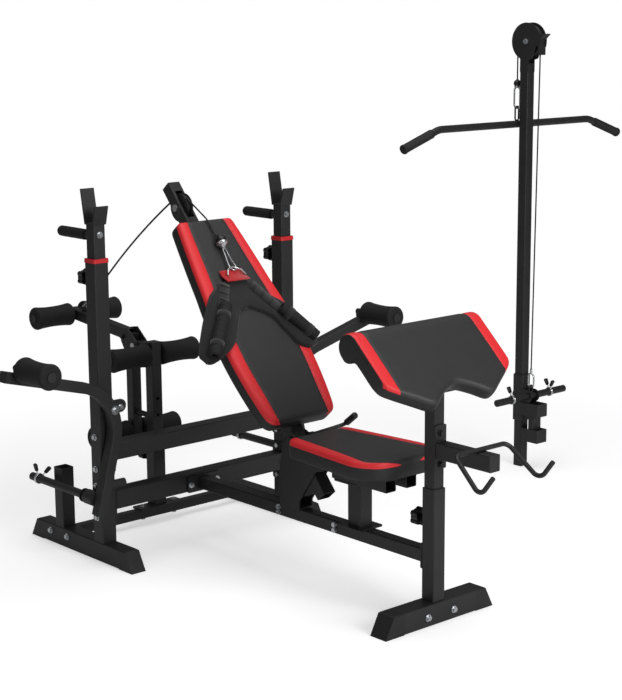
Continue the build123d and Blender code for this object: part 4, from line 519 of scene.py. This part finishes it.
def curlCushion(look):
    # one loop round the cushion for each place across it: roll, arm slope, lower edge, underside
    across = [237, 236.2, 234, 230, 224, 214, 206, 199, 196.6, 195.4, 193, 186, 176, 160, 142,
              126, 116, 107, 97, 86, 70, 54, 38, 22, 8]
    ys = [-y for y in across] + [0] + across[::-1]
    points = []
    panels = []
    for y in ys:
        low = between(look["outline"], abs(y))
        drop = rimDrop(look["half"] - abs(y), look["rim"])
        swell = look["crown"] * (1 - (y / look["half"]) ** 2)
        groove = look["groove"] * math.exp(-((abs(y) - look["seam"]) / seamWidth) ** 2)
        ring = []
        roll = look["roll"] - drop * 0.8 - groove
        for turn in range(-95, 91, 15):
            a = math.radians(180 - turn)
            ring.append((look["rollS"] + roll * math.cos(a), -look["roll"] + roll * math.sin(a)))
        top = -drop - groove
        span = low - look["edge"] - look["rollS"]
        for t in (0.08, 0.2, 0.35, 0.5, 0.65, 0.8, 0.92, 1.0):
            ring.append((look["rollS"] + span * t, top + swell * math.sin(math.pi * t * 0.9)))
        edge = look["edge"]
        for turn in (70, 45, 20, 0):
            a = math.radians(turn)
            ring.append((low - edge + edge * math.cos(a), -edge - drop + edge * math.sin(a)))
        ring += [(low, -look["thick"] + 12), (low - 3, -look["thick"] + 3),
                 (low - 10, -look["thick"] + 0.3)]
        for t in (0.75, 0.5, 0.25, 0.0):
            ring.append((74 + (low - 12 - 74) * t, -look["thick"] + 0.3))
        ring += [(67, -50), (63, -60), (54, -70), (43, -77)]
        loop = len(ring)
        points += [onCurlPad(y, s, n) for s, n in ring]
    faces = gridFaces(len(ys), loop, wrap=True, flip=True)
    for i in range(len(ys) - 1):
        for j in range(loop):
            y = abs(ys[i] + ys[i + 1]) / 2
            isTop = 3 <= j <= 22
            panels.append(2 if not isTop or y > 235 else 1 if y > look["seam"] else 0)
    for i in (0, len(ys) - 1):
        faces.append(tuple(range(i * loop, (i + 1) * loop))[::1 if i == 0 else -1])
        panels.append(2)
    piece = addPiece("armRestCushion", points, faces, [vinylCharcoal, vinylRed, vinylEdge],
                     "preacher_rest",
                     faceFinish=panels, stands=("preacher_pad",),
                     smoothLevel=1)


curlCushion(curlLook)
print("arm rest sewn")

# ---- harness


def alongLine(points, share):
    # point at this share of a polyline's length
    steps = [(Vector(b) - Vector(a)).length for a, b in zip(points, points[1:])]
    goal = share * sum(steps)
    for (a, b), step in zip(zip(points, points[1:]), steps):
        if goal <= step:
            return Vector(a).lerp(Vector(b), goal / step)
        goal -= step
    return Vector(points[-1])


harnessLook = {
    "outer": [(-228, 238), (-236, 256), (-234, 271), (-217, 302), (-198, 334), (-183, 358),
              (-167, 381), (-146, 411), (-123, 437), (-99, 454), (-74, 466), (-45, 477),
              (-15, 483), (8, 479), (29, 470), (51, 450), (71, 424), (98, 401), (126, 380),
              (141, 354), (155, 326), (172, 289), (186, 253), (190, 243), (187, 235)],
    "inner": [(-226, 232), (-216, 226), (-206, 226), (-189, 230), (-171, 237), (-153, 245),
              (-136, 255), (-118, 268), (-101, 284), (-83, 311), (-65, 338), (-55, 353),
              (-46, 366), (-12, 378), (24, 359), (42, 347), (60, 333), (68, 313), (76, 291),
              (86, 267), (96, 243), (106, 231), (116, 222), (131, 215), (147, 213), (168, 220),
              (182, 230)],
    "base": 74.6, "thick": 12.0, "droop": 0.36}


def harnessFloor(y, s):
    # lies on the cushion's crown, then falls over its edge
    over = max(0.0, abs(y) - 138)
    return harnessLook["base"] - harnessLook["droop"] * over * over / (over + 14)


def sewHarness(look):
    stations = 73
    across = [0.0, 0.025, 0.06, 0.11, 0.2, 0.35, 0.5, 0.65, 0.8, 0.89, 0.94, 0.975, 1.0]
    points = []
    for side in (1, 0):
        for i in range(stations):
            share = i / (stations - 1)
            near = alongLine(look["inner"], share)
            far = alongLine(look["outer"], share)
            tip = min(1.0, min(share, 1 - share) * 14)
            for t in across:
                spot = near.lerp(far, t)
                rim = min(t, 1 - t)
                full = (1 - (1 - min(1, rim / 0.2)) ** 2.2) ** 0.6
                piping = 1.6 * math.exp(-((rim - 0.045) / 0.022) ** 2)
                seam = 1.4 * math.exp(-((rim - 0.115) / 0.02) ** 2)
                rumple = 1.1 * noise.noise(Vector((spot.x * 0.024, spot.y * 0.024, 1.7)))
                lift = look["thick"] * (0.55 + 0.45 * tip) * full + piping - seam + rumple * full
                level = harnessFloor(spot.x, spot.y) + max(lift * side, 0.2 * side)
                points.append(onBack(spot.x, spot.y, level))
    columns = len(across)
    faces = gridFaces(stations, columns, flip=True)
    under = stations * columns
    faces += gridFaces(stations, columns, start=under)
    for i in range(stations - 1):
        a, b = i * columns, (i + 1) * columns
        faces.append((a, b, under + b, under + a))
        a, b = a + columns - 1, b + columns - 1
        faces.append((b, a, under + a, under + b))
    for j in range(columns - 1):
        faces.append((j + 1, j, under + j, under + j + 1))
        k = (stations - 1) * columns + j
        faces.append((k, k + 1, under + k + 1, under + k))
    piece = addPiece("harnessPad", points, faces, [neoprene], "backrest", stands=("harness",),
                     smoothLevel=1)


sewHarness(harnessLook)


def strip(name, path, width, thick, finish, body="backrest"):
    # flat webbing laid along a path of points, each (point, normal)
    points = []
    for i, (point, normal) in enumerate(path):
        before = path[max(i - 1, 0)][0]
        after = path[min(i + 1, len(path) - 1)][0]
        side = (after - before).cross(normal).normalized() * width / 2
        lift = normal.normalized() * thick
        points += [point - side, point - side * 0.97 + lift, point + side * 0.97 + lift,
                   point + side]
    faces = gridFaces(len(path), 4, wrap=True)
    last = (len(path) - 1) * 4
    faces += [(3, 2, 1, 0), (last, last + 1, last + 2, last + 3)]
    return addPiece(name, points, faces, [finish], body)


def padTop(y, s, above=0.0):
    # height of the harness pad's upper skin in the middle of its width, about
    return onBack(y, s, harnessFloor(y, s) + harnessLook["thick"] + above)


strapLook = {"left": ((-62, 462), (-112, 374)), "right": ((33, 448), (96, 342)), "width": 0.034,
             "thick": 0.0022}
for sideName in ("left", "right"):
    (y0, s0), (y1, s1) = strapLook[sideName]
    path = []
    for k in range(13):
        t = k / 12
        path.append((padTop(y0 + (y1 - y0) * t, s0 + (s1 - s0) * t, 0.9), outward))
    strip("harnessStrap_" + sideName, path, strapLook["width"], strapLook["thick"], webbing)
    for k, t in enumerate((0.1, 0.36, 0.62, 0.9)):
        # bar tacks: raised bands of thread across the strap
        spot = padTop(y0 + (y1 - y0) * t, s0 + (s1 - s0) * t, 3.2)
        run = (padTop(y1, s1) - padTop(y0, s0)).normalized()
        strip(f"strapTack_{sideName}_{k}",
              [(spot - run * 0.0035, outward), (spot + run * 0.0035, outward)],
              strapLook["width"] * 0.92, 0.0012, neoprene)
# red tab that carries the snap hook
tabLook = {"y": -10, "low": 462, "high": 509, "width": 0.086}
tabPath = []
for k in range(9):
    t = k / 8
    s = tabLook["low"] + (tabLook["high"] - tabLook["low"]) * t
    lift = 15.2 * max(0.0, 1 - t * 1.6) + 4.5
    tabPath.append((onBack(tabLook["y"], s, 74.0 + lift), outward))
strip("harnessTab", tabPath, tabLook["width"], 0.004, redWebbing)

gripLook = {"left": ((-104, 386), (-212, 238)), "right": ((88, 352), (172, 240)), "radius": 0.0195}
for sideName in ("left", "right"):
    (y0, s0), (y1, s1) = gripLook[sideName]
    lift = gripLook["radius"] * 1000 + harnessLook["thick"] - 5
    startAt = onBack(y0, s0, harnessFloor(y0, s0) + lift)
    endAt = onBack(y1, s1, harnessFloor(y1, s1) + (lift if sideName == "left" else lift - 6))
    run = endAt - startAt
    length = run.length
    r = gripLook["radius"]
    outline = [(0, r * 0.55), (0, r * 0.8), (0.0008, r * 0.93), (0.003, r)]
    steps = 10
    step = (length - 0.012) / steps
    for k in range(steps):
        at = 0.006 + step * k
        outline += [(at, r), (at + step * 0.85, r), (at + step * 0.92, r * 0.975)]
    outline += [(length - 0.003, r), (length - 0.0008, r * 0.93), (length, r * 0.8),
                (length, r * 0.55), (length - 0.012, r * 0.5)]
    turned("harnessGrip_" + sideName, outline, startAt, run, foamRubber, "backrest",
           sides=36)
    for k, t in enumerate((0.22, 0.78)):
        # webbing loop round the grip
        centre = startAt + run * t
        loop = [(-0.009, r + 0.0002), (-0.0085, r + 0.0011), (0.0085, r + 0.0011),
                (0.009, r + 0.0002)]
        turned(f"gripLoop_{sideName}_{k}", loop, centre, run, webbing, "backrest",
               sides=36)
print("harness sewn")

# ---- foam rollers and grips

rollerLook = {"end": 0.038, "waist": 0.0335, "nose": 0.009, "bore": 0.0102, "hub": 0.02,
              "offset": 0.095, "length": 0.142}


def roller(name, centre, axis, length, body, stands):
    half = length / 2
    end, waist, nose = rollerLook["end"], rollerLook["waist"], rollerLook["nose"]
    bore, hub = rollerLook["bore"], rollerLook["hub"]
    outline = [(-half, bore), (-half, hub), (-half, end - nose)]
    for k in range(1, 6):
        a = math.pi / 2 * k / 5
        outline.append((-half + nose * (1 - math.cos(a)), end - nose + nose * math.sin(a)))
    for k in range(1, 16):
        t = k / 16
        bow = math.sin(math.pi * t) ** 0.7
        outline.append((-half + nose + (length - 2 * nose) * t, end - (end - waist) * bow))
    for k in range(5, -1, -1):
        a = math.pi / 2 * k / 5
        outline.append((half - nose * (1 - math.cos(a)), end - nose + nose * math.sin(a)))
    outline += [(half, hub), (half, bore)]
    piece = turned(name, outline, centre, axis, foamRubber, body, stands=stands,
                   sides=48,
                   ripple=0.006, seed=centre[1] * 40 + centre[2] * 9, smoothLevel=1)


for node in ("arm_roller_left", "arm_roller_right"):
    low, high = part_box(node)
    centre = (low + high) / 2
    roller(node.replace("_roller", "Roller") + "Foam", centre, (1, 0, 0), high.x - low.x, node,
           (node,))
for node in ("knee_rollers", "swing_rollers", "lever_rollers"):
    low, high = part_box(node)
    x, z = (low.x + high.x) / 2, (low.z + high.z) / 2
    for side in (-1, 1):
        sideName = "Left" if side < 0 else "Right"
        roller(node.split("_")[0] + "Roller" + sideName,
               Vector((x, side * rollerLook["offset"], z)),
               (0, 1, 0), rollerLook["length"], node, (node,))

dipLook = {"bore": 0.0112, "lip": 0.002, "nose": 0.011, "round": 0.0095}
for sideName in ("left", "right"):
    node = "dip_grip_" + sideName
    low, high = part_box(node)
    y, z = (low.y + high.y) / 2, (low.z + high.z) / 2
    r = (high.z - low.z) / 2
    length = high.x - low.x
    outline = [(0, dipLook["bore"]), (0, r - dipLook["lip"]), (dipLook["lip"], r)]
    for k in range(1, 12):
        outline.append((length * k / 13, r * (1 + 0.012 * math.sin(k * 2.1))))
    for k in range(1, 8):
        a = math.pi / 2 * k / 8
        outline.append((length - dipLook["nose"] * (1 - math.sin(a)),
                        r - dipLook["round"] * (1 - math.cos(a))))
    outline += [(length, r * 0.3), (length, 0.0005)]
    piece = turned("dipGrip_" + sideName, outline, Vector((high.x, y, z)), (-1, 0, 0), foamRubber,
                   "rack_" + sideName, stands=(node,), sides=40,
                   ripple=0.006, smoothLevel=1)

barX, mastY = -0.9463, 1.373
latLook = {"tip": (0.556, 1.170), "root": (0.390, 1.227), "length": 0.142, "radius": 0.0155,
           "bore": 0.0126,
           "ribs": 30, "groove": 0.0011, "rim": 0.0012, "over": 0.138}
for side, sideName in ((-1, "near"), (1, "far")):
    tip, root = [Vector((barX, mastY + side * y, z)) for y, z in (latLook["tip"], latLook["root"])]
    run = (tip - root).normalized()
    length, r, ribs = latLook["length"], latLook["radius"], latLook["ribs"]
    low, rim = r - latLook["groove"], r + latLook["rim"]
    outline = [(0, latLook["bore"]), (0, r - 0.001), (0.001, r)]
    step = (length - 0.014) / ribs
    for k in range(ribs):
        at = 0.004 + step * k
        outline += [(at, low), (at + step * 0.2, r), (at + step * 0.75, r),
                    (at + step * 0.95, low)]
    outline += [(length - 0.008, rim), (length - 0.003, rim), (length - 0.0008, r),
                (length, r * 0.7), (length, 0.0005)]
    turned("latGrip_" + sideName, outline, tip - run * latLook["over"], run, gripRubber,
           "lat_bar", stands=("lat_grips",), sides=40)
print("rollers and grips turned")

# ---- snap hooks, clips and bolts


def splitFinish(node, finishes, pick):
    # a second finish on the faces that pick chooses
    mesh = nodes[node].data
    mesh.materials.clear()
    for finish in finishes:
        mesh.materials.append(finish)
    mesh.polygons.foreach_set("material_index",
                              [1 if pick(p.center) else 0 for p in mesh.polygons])
    mesh.update()


latBall, latBallRadius = Vector((barX, mastY, 1.368)), 0.0141
splitFinish("lat_clip", (zincPlate, knobPlastic), lambda c: (c - latBall).length < latBallRadius)
boltHeads = {"rack_tube_left": (((-1.010, -0.3565, 0.989), (1, 0, 0), 0.010),),
             "rack_tube_right": (((-1.010, 0.3565, 0.989), (1, 0, 0), 0.010),),
             "upright_left": (((-0.9614, -0.354, 0.475), (1, 0, 0), 0.014),
                              ((-1.0, -0.3075, 0.471), (1, 0, 0), 0.009)),
             "upright_right": (((-0.9614, 0.354, 0.475), (1, 0, 0), 0.014),
                               ((-1.0, 0.3075, 0.471), (1, 0, 0), 0.009)),
             "backrest_spine": (((-1.08379, -0.0225, 1.03366), (0, -1, 0), 0.012),
                                ((-1.08379, 0.0225, 1.03366), (0, 1, 0), 0.012)),
             "leg_tube": (((-1.328, -0.0218, 0.570), (0, -1, 0), 0.012),
                          ((-1.328, 0.0218, 0.570), (0, 1, 0), 0.012)),
             "mast": (((-0.895, 1.355, 1.513), (0, -1, 0), 0.010),
                      ((-0.895, 1.391, 1.513), (0, 1, 0), 0.010))}


def onBolt(centre, heads):
    for point, axis, rim in heads:
        away = centre - Vector(point)
        out = away.dot(Vector(axis))
        if 0.0002 < out < 0.014 and (away - Vector(axis) * out).length < rim + 0.0004:
            return True
    return False


for node, heads in boltHeads.items():
    splitFinish(node, (paint, zincPlate), lambda c, heads=heads: onBolt(c, heads))

# pull hook on the harness: stop ball on the cable, plated cup, long wire hook, ring on the tab
hookLook = {"ball": 0.0178, "ballAt": (0, 606, 91), "hangsTo": (-4, 520, 84), "wire": 0.0025}
ballAt = onBack(*hookLook["ballAt"])
drop = (onBack(*hookLook["hangsTo"]) - ballAt).normalized()
r = hookLook["ball"]
outline = [(-r * 1.15, 0.0004), (-r * 1.15, r * 0.36), (-r * 0.98, r * 0.62)]
for k in range(1, 9):
    a = math.pi * (0.18 + 0.36 * k / 8)
    outline.append((-r * math.cos(a), r * math.sin(a)))
outline += [(r * 0.3, r * 0.9), (r * 0.3, 0.0004)]
turned("pullStop", outline, ballAt, drop, knobPlastic, "backrest", stands=("harness_clip",),
       smoothLevel=1)
outline = [(r * 0.22, 0.0004), (r * 0.22, r * 0.97), (r * 0.3, r * 1.04), (r * 0.52, r * 1.04),
           (r * 0.72, r * 0.9),
           (r * 1.1, r * 0.4), (r * 1.45, r * 0.3), (r * 1.5, r * 0.1), (r * 1.5, 0.0004)]
turned("pullCup", outline, ballAt, drop, zincPlate, "backrest", stands=("harness_clip",),
       smoothLevel=1)
hookPoints = [(-3, 584, 88), (3.5, 583, 87), (6.5, 572, 86), (5, 552, 85), (9, 530, 84.5),
              (12, 516, 85), (8, 505, 87), (-1, 501, 88), (-10, 506, 88), (-13, 518, 86),
              (-10, 532, 84.5), (-6, 552, 85), (-7, 572, 86)]
wire("pullHook", [onBack(*p) for p in hookPoints], hookLook["wire"], zincPlate, "backrest",
     cyclic=True)
wire("pullGate", [onBack(*p) for p in ((-6.4, 566, 86.6), (-9, 548, 86.4), (-12.6, 524, 86.2))],
     hookLook["wire"] * 0.8, zincPlate, "backrest")
ringPoints = [(-37, 486, 90.5), (-34, 492, 91), (-27, 505, 89), (-14, 514, 87), (0, 514.5, 87),
              (14, 508, 88), (23, 497, 90), (26, 488, 91), (29, 481, 90.5)]
wire("tabRing", [onBack(*p) for p in ringPoints], hookLook["wire"] * 1.1, zincPlate, "backrest")
clipLook = {"wire": 0.0021, "inner": 0.0129, "turns": 3.0, "ear": (0.00825, 0.0045, 0.024),
            "earFrom": 0.010,
            "peg": (-1.312, 0.404, 0.205), "spindle": (-0.858, 0.1, 0.264)}
# height up the thumb piece, then shares of its width and depth
earRings = ((0, 0.55, 0.8), (0.08, 0.7, 1), (0.3, 0.82, 1), (0.75, 1, 1), (0.93, 0.9, 0.95),
            (1, 0.6, 0.7))
earSides = 16


def springClip(name, centre, axis, up, leans, body, node):
    # three coils of zinc wire with two legs, a moulded thumb piece on each leg
    axis = Vector(axis).normalized()
    up = Vector(up)
    side = axis.cross(up)
    ring = clipLook["inner"] + clipLook["wire"]
    pitch = clipLook["wire"] * 1.95
    first, last = [math.radians(v) for v in leans]
    points = []
    total = 2 * math.pi * (clipLook["turns"] - 1) + (2 * math.pi - (last - first))
    steps = 44
    for k in range(steps + 1):
        a = last + total * k / steps
        shift = (k / steps - 0.5) * pitch * (clipLook["turns"] - 1)
        points.append(centre + axis * shift + (up * math.cos(a) + side * math.sin(a)) * ring)
    for end, lean in ((0, last), (1, first)):
        away = up * math.cos(lean) + side * math.sin(lean)
        shift = (end - 0.5) * pitch * (clipLook["turns"] - 1)
        foot = centre + axis * shift
        leg = [foot + away * (ring + 0.006), foot + away * (ring + 0.018)]
        points = (points + leg) if end else (leg[::-1] + points)
    wire(name + "Wire", points, clipLook["wire"], zincPlate, body, stands=(node,),
         steps=3)
    for end, lean in ((0, last), (1, first)):
        away = up * math.cos(lean) + side * math.sin(lean)
        across = axis.cross(away)
        shift = (end - 0.5) * pitch * (clipLook["turns"] - 1)
        foot = centre + axis * shift + away * (ring + clipLook["earFrom"])
        wide, deep, tall = clipLook["ear"]
        points = []
        for h, w, d in earRings:
            for k in range(earSides):
                a = 2 * math.pi * k / earSides
                c, s = math.cos(a), math.sin(a)
                points.append(foot + away * tall * h
                              + axis * wide * w * math.copysign(abs(c) ** 0.5, c)
                              + across * deep * d * math.copysign(abs(s) ** 0.5, s))
        faces = gridFaces(len(earRings), earSides, wrap=True)
        last = (len(earRings) - 1) * earSides
        faces += [tuple(range(earSides - 1, -1, -1)), tuple(range(last, last + earSides))]
        addPiece(f"{name}Ear{end}", points, faces, [knobPlastic], body)


for side, sideName in ((-1, "left"), (1, "right")):
    leans = (-12, 52) if side < 0 else (-52, 12)
    x, y, z = clipLook["peg"]
    springClip("pegClip_" + sideName, Vector((x, side * y, z)), (-1, 0, 0), (0, 0, 1), leans,
               "peg_clip_" + sideName, "peg_clip_" + sideName)
    x, y, z = clipLook["spindle"]
    springClip("spindleClip_" + ("near" if side < 0 else "far"), Vector((x, mastY + side * y, z)),
               (0, side, 0), (0, 0, 1), (-26, 26), "carriage", "spindle_clips")
print("clips and bolts made")

# ---- cables that run between bodies

cableLook = {"rear": 0.003, "mast": 0.0025, "sides": 12}


def cableRun(name, points, radius, stands):
    # round cable along points, carried by no body
    rows = []
    sides = cableLook["sides"]
    for i, point in enumerate(points):
        heading = (points[min(i + 1, len(points) - 1)] - points[max(i - 1, 0)]).normalized()
        side = heading.cross(Vector((0, 1, 0)))
        side = side.normalized() if side.length > 0.1 else Vector((1, 0, 0))
        lift = heading.cross(side)
        for k in range(sides):
            a = 2 * math.pi * k / sides
            rows.append(point + (side * math.cos(a) + lift * math.sin(a)) * radius)
    faces = gridFaces(len(points), sides, wrap=True)
    last = (len(points) - 1) * sides
    faces += [tuple(range(sides - 1, -1, -1)), tuple(range(last, last + sides))]
    piece = addPiece(name, rows, faces, [cablePvc], None, stands=stands)
    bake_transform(piece)
    return piece


rearRun = {"start": Vector((-1.57964, 0, 0.6966)), "bow": Vector((-1.35734, 0, 0.89796)),
           "end": Vector((-1.11229, 0, 1.06188))}
# one gentle bend from the lever's eye to the pulley
lever, pulley = rearRun["start"], rearRun["end"]
pull = rearRun["bow"] * 3 - (lever + pulley) / 2
rearPoints = [lever * (1 - t) ** 2 + pull * t * (1 - t) + pulley * t ** 2
              for t in [k / 60 for k in range(61)]]
for name, pair, first, last in (("rearCableLow", ("leg_lever", "leg_tube"), 0, 20),
                                ("rearCableMid", ("leg_tube", "frame"), 20, 40),
                                ("rearCableHigh", ("frame", "backrest"), 40, 60)):
    part = rearPoints[first:last + 1]
    cableRun(name, part, cableLook["rear"], ("harness_cable_rear",))

low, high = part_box("lat_cable")
latPoints = [Vector((barX, mastY, low.z + (high.z - low.z) * k / 24)) for k in range(25)]
cableRun("latCableRun", latPoints, cableLook["mast"],
         ("lat_cable",))
cableLow, cableHigh = Vector((-0.858, mastY, 0.362)), Vector((-0.8437, mastY, 1.5125))
carriagePoints = [cableLow.lerp(cableHigh, k / 60) for k in range(61)]
cableRun("carriageCableRun", carriagePoints, cableLook["mast"],
         ("carriage_cable",))
print("cables strung")

# ---- stage, light and camera

floorSettings = {"Base Color": linear("ffffff"), "Roughness": 0.9}
floorMaterial, tree, shader, place = startMaterial("studioPaper", floorSettings)
out = tree.nodes["Material Output"]
# white paper that keeps a soft shadow near the object and runs out to plain white further off
path = addNode(tree, "ShaderNodeLightPath")
paper = addNode(tree, "ShaderNodeBsdfDiffuse", {"Color": linear("e6e6e6")})
glow = addNode(tree, "ShaderNodeEmission", {"Color": linear("ffffff"), "Strength": 0.5})
lit = addNode(tree, "ShaderNodeAddShader", {}, {0: paper.outputs[0], 1: glow.outputs[0]})
white = addNode(tree, "ShaderNodeEmission", {"Color": linear("ffffff"), "Strength": 1.0})
reach = addNode(tree, "ShaderNodeVectorMath", {"operation": "DISTANCE", 1: (-0.75, 0.35, 0.0)},
                {0: place})
fade = addNode(tree, "ShaderNodeMapRange",
               {"From Min": 1.1, "From Max": 2.3, "interpolation_type": "SMOOTHSTEP"},
               {"Value": reach.outputs["Value"]})
seen = addNode(tree, "ShaderNodeMixShader", {},
               {0: fade.outputs[0], 1: lit.outputs[0], 2: white.outputs[0]})
both = addNode(tree, "ShaderNodeMixShader", {},
               {0: path.outputs["Is Camera Ray"], 1: paper.outputs[0],
                                                 2: seen.outputs[0]})
tree.links.new(both.outputs[0], out.inputs["Surface"])
mesh = bpy.data.meshes.new("floor")
floorLook = {"reach": 16, "level": -0.0006}
corners = [(x * floorLook["reach"], y * floorLook["reach"], floorLook["level"])
           for x, y in ((-1, -1), (1, -1), (1, 1), (-1, 1))]
mesh.from_pydata(corners, [], [(0, 1, 2, 3)])
mesh.materials.append(floorMaterial)
floor = bpy.data.objects.new("floor", mesh)
bpy.context.scene.collection.objects.link(floor)

world = bpy.data.worlds.new("studio")
bpy.context.scene.world = world
world.use_nodes = True
tree = world.node_tree
background = tree.nodes["Background"]
path = addNode(tree, "ShaderNodeLightPath")
toCamera = addNode(tree, "ShaderNodeMix",
                   {"data_type": "RGBA", 6: linear("6a6a6a"), 7: linear("ffffff")},
                   {0: path.outputs["Is Camera Ray"]})
tree.links.new(toCamera.outputs[2], background.inputs["Color"])
background.inputs["Strength"].default_value = 1.0


def areaLight(name, where, target, size, power, tint="ffffff"):
    data = bpy.data.lights.new(name, "AREA")
    data.shape = "RECTANGLE"
    data.size, data.size_y = size
    data.energy = power
    data.color = linear(tint)[:3]
    lamp = bpy.data.objects.new(name, data)
    lamp.location = where
    lamp.rotation_euler = (Vector(target) - Vector(where)).to_track_quat("-Z", "Y").to_euler()
    bpy.context.scene.collection.objects.link(lamp)


areaLight("key", (3.8, 0.2, 2.4), (-0.7, 0.3, 0.6), (2.6, 2.2), 120)
areaLight("top", (-0.6, 0.2, 4.6), (-0.8, 0.3, 0.2), (3.6, 3.6), 90)
areaLight("fill", (0.6, -4.4, 1.6), (-0.8, 0.0, 0.6), (3.0, 2.4), 14)

cameraLook = {"where": (3.0343, -3.1158, 1.6231), "yaw": 0.7238, "pitch": -0.1988, "roll": -0.0071,
              "lens": 86.716, "sensor": 36, "reach": 60}
lensData = bpy.data.cameras.new("camera")
lensData.lens = cameraLook["lens"]
lensData.sensor_width = cameraLook["sensor"]
lensData.clip_end = cameraLook["reach"]
camera = bpy.data.objects.new("camera", lensData)
yaw, pitch = cameraLook["yaw"], cameraLook["pitch"]
level = math.cos(pitch)
forward = Vector((-math.cos(yaw) * level, math.sin(yaw) * level, math.sin(pitch)))
right = Vector((math.sin(yaw), math.cos(yaw), 0))
up = right.cross(forward)
spin = Matrix((right, up, -forward)).transposed() @ Matrix.Rotation(cameraLook["roll"], 3, "Z")
camera.matrix_world = Matrix.Translation(cameraLook["where"]) @ spin.to_4x4()
bpy.context.scene.collection.objects.link(camera)
bpy.context.scene.camera = camera
bpy.context.scene.view_settings.view_transform = "Standard"
print("stage lit")
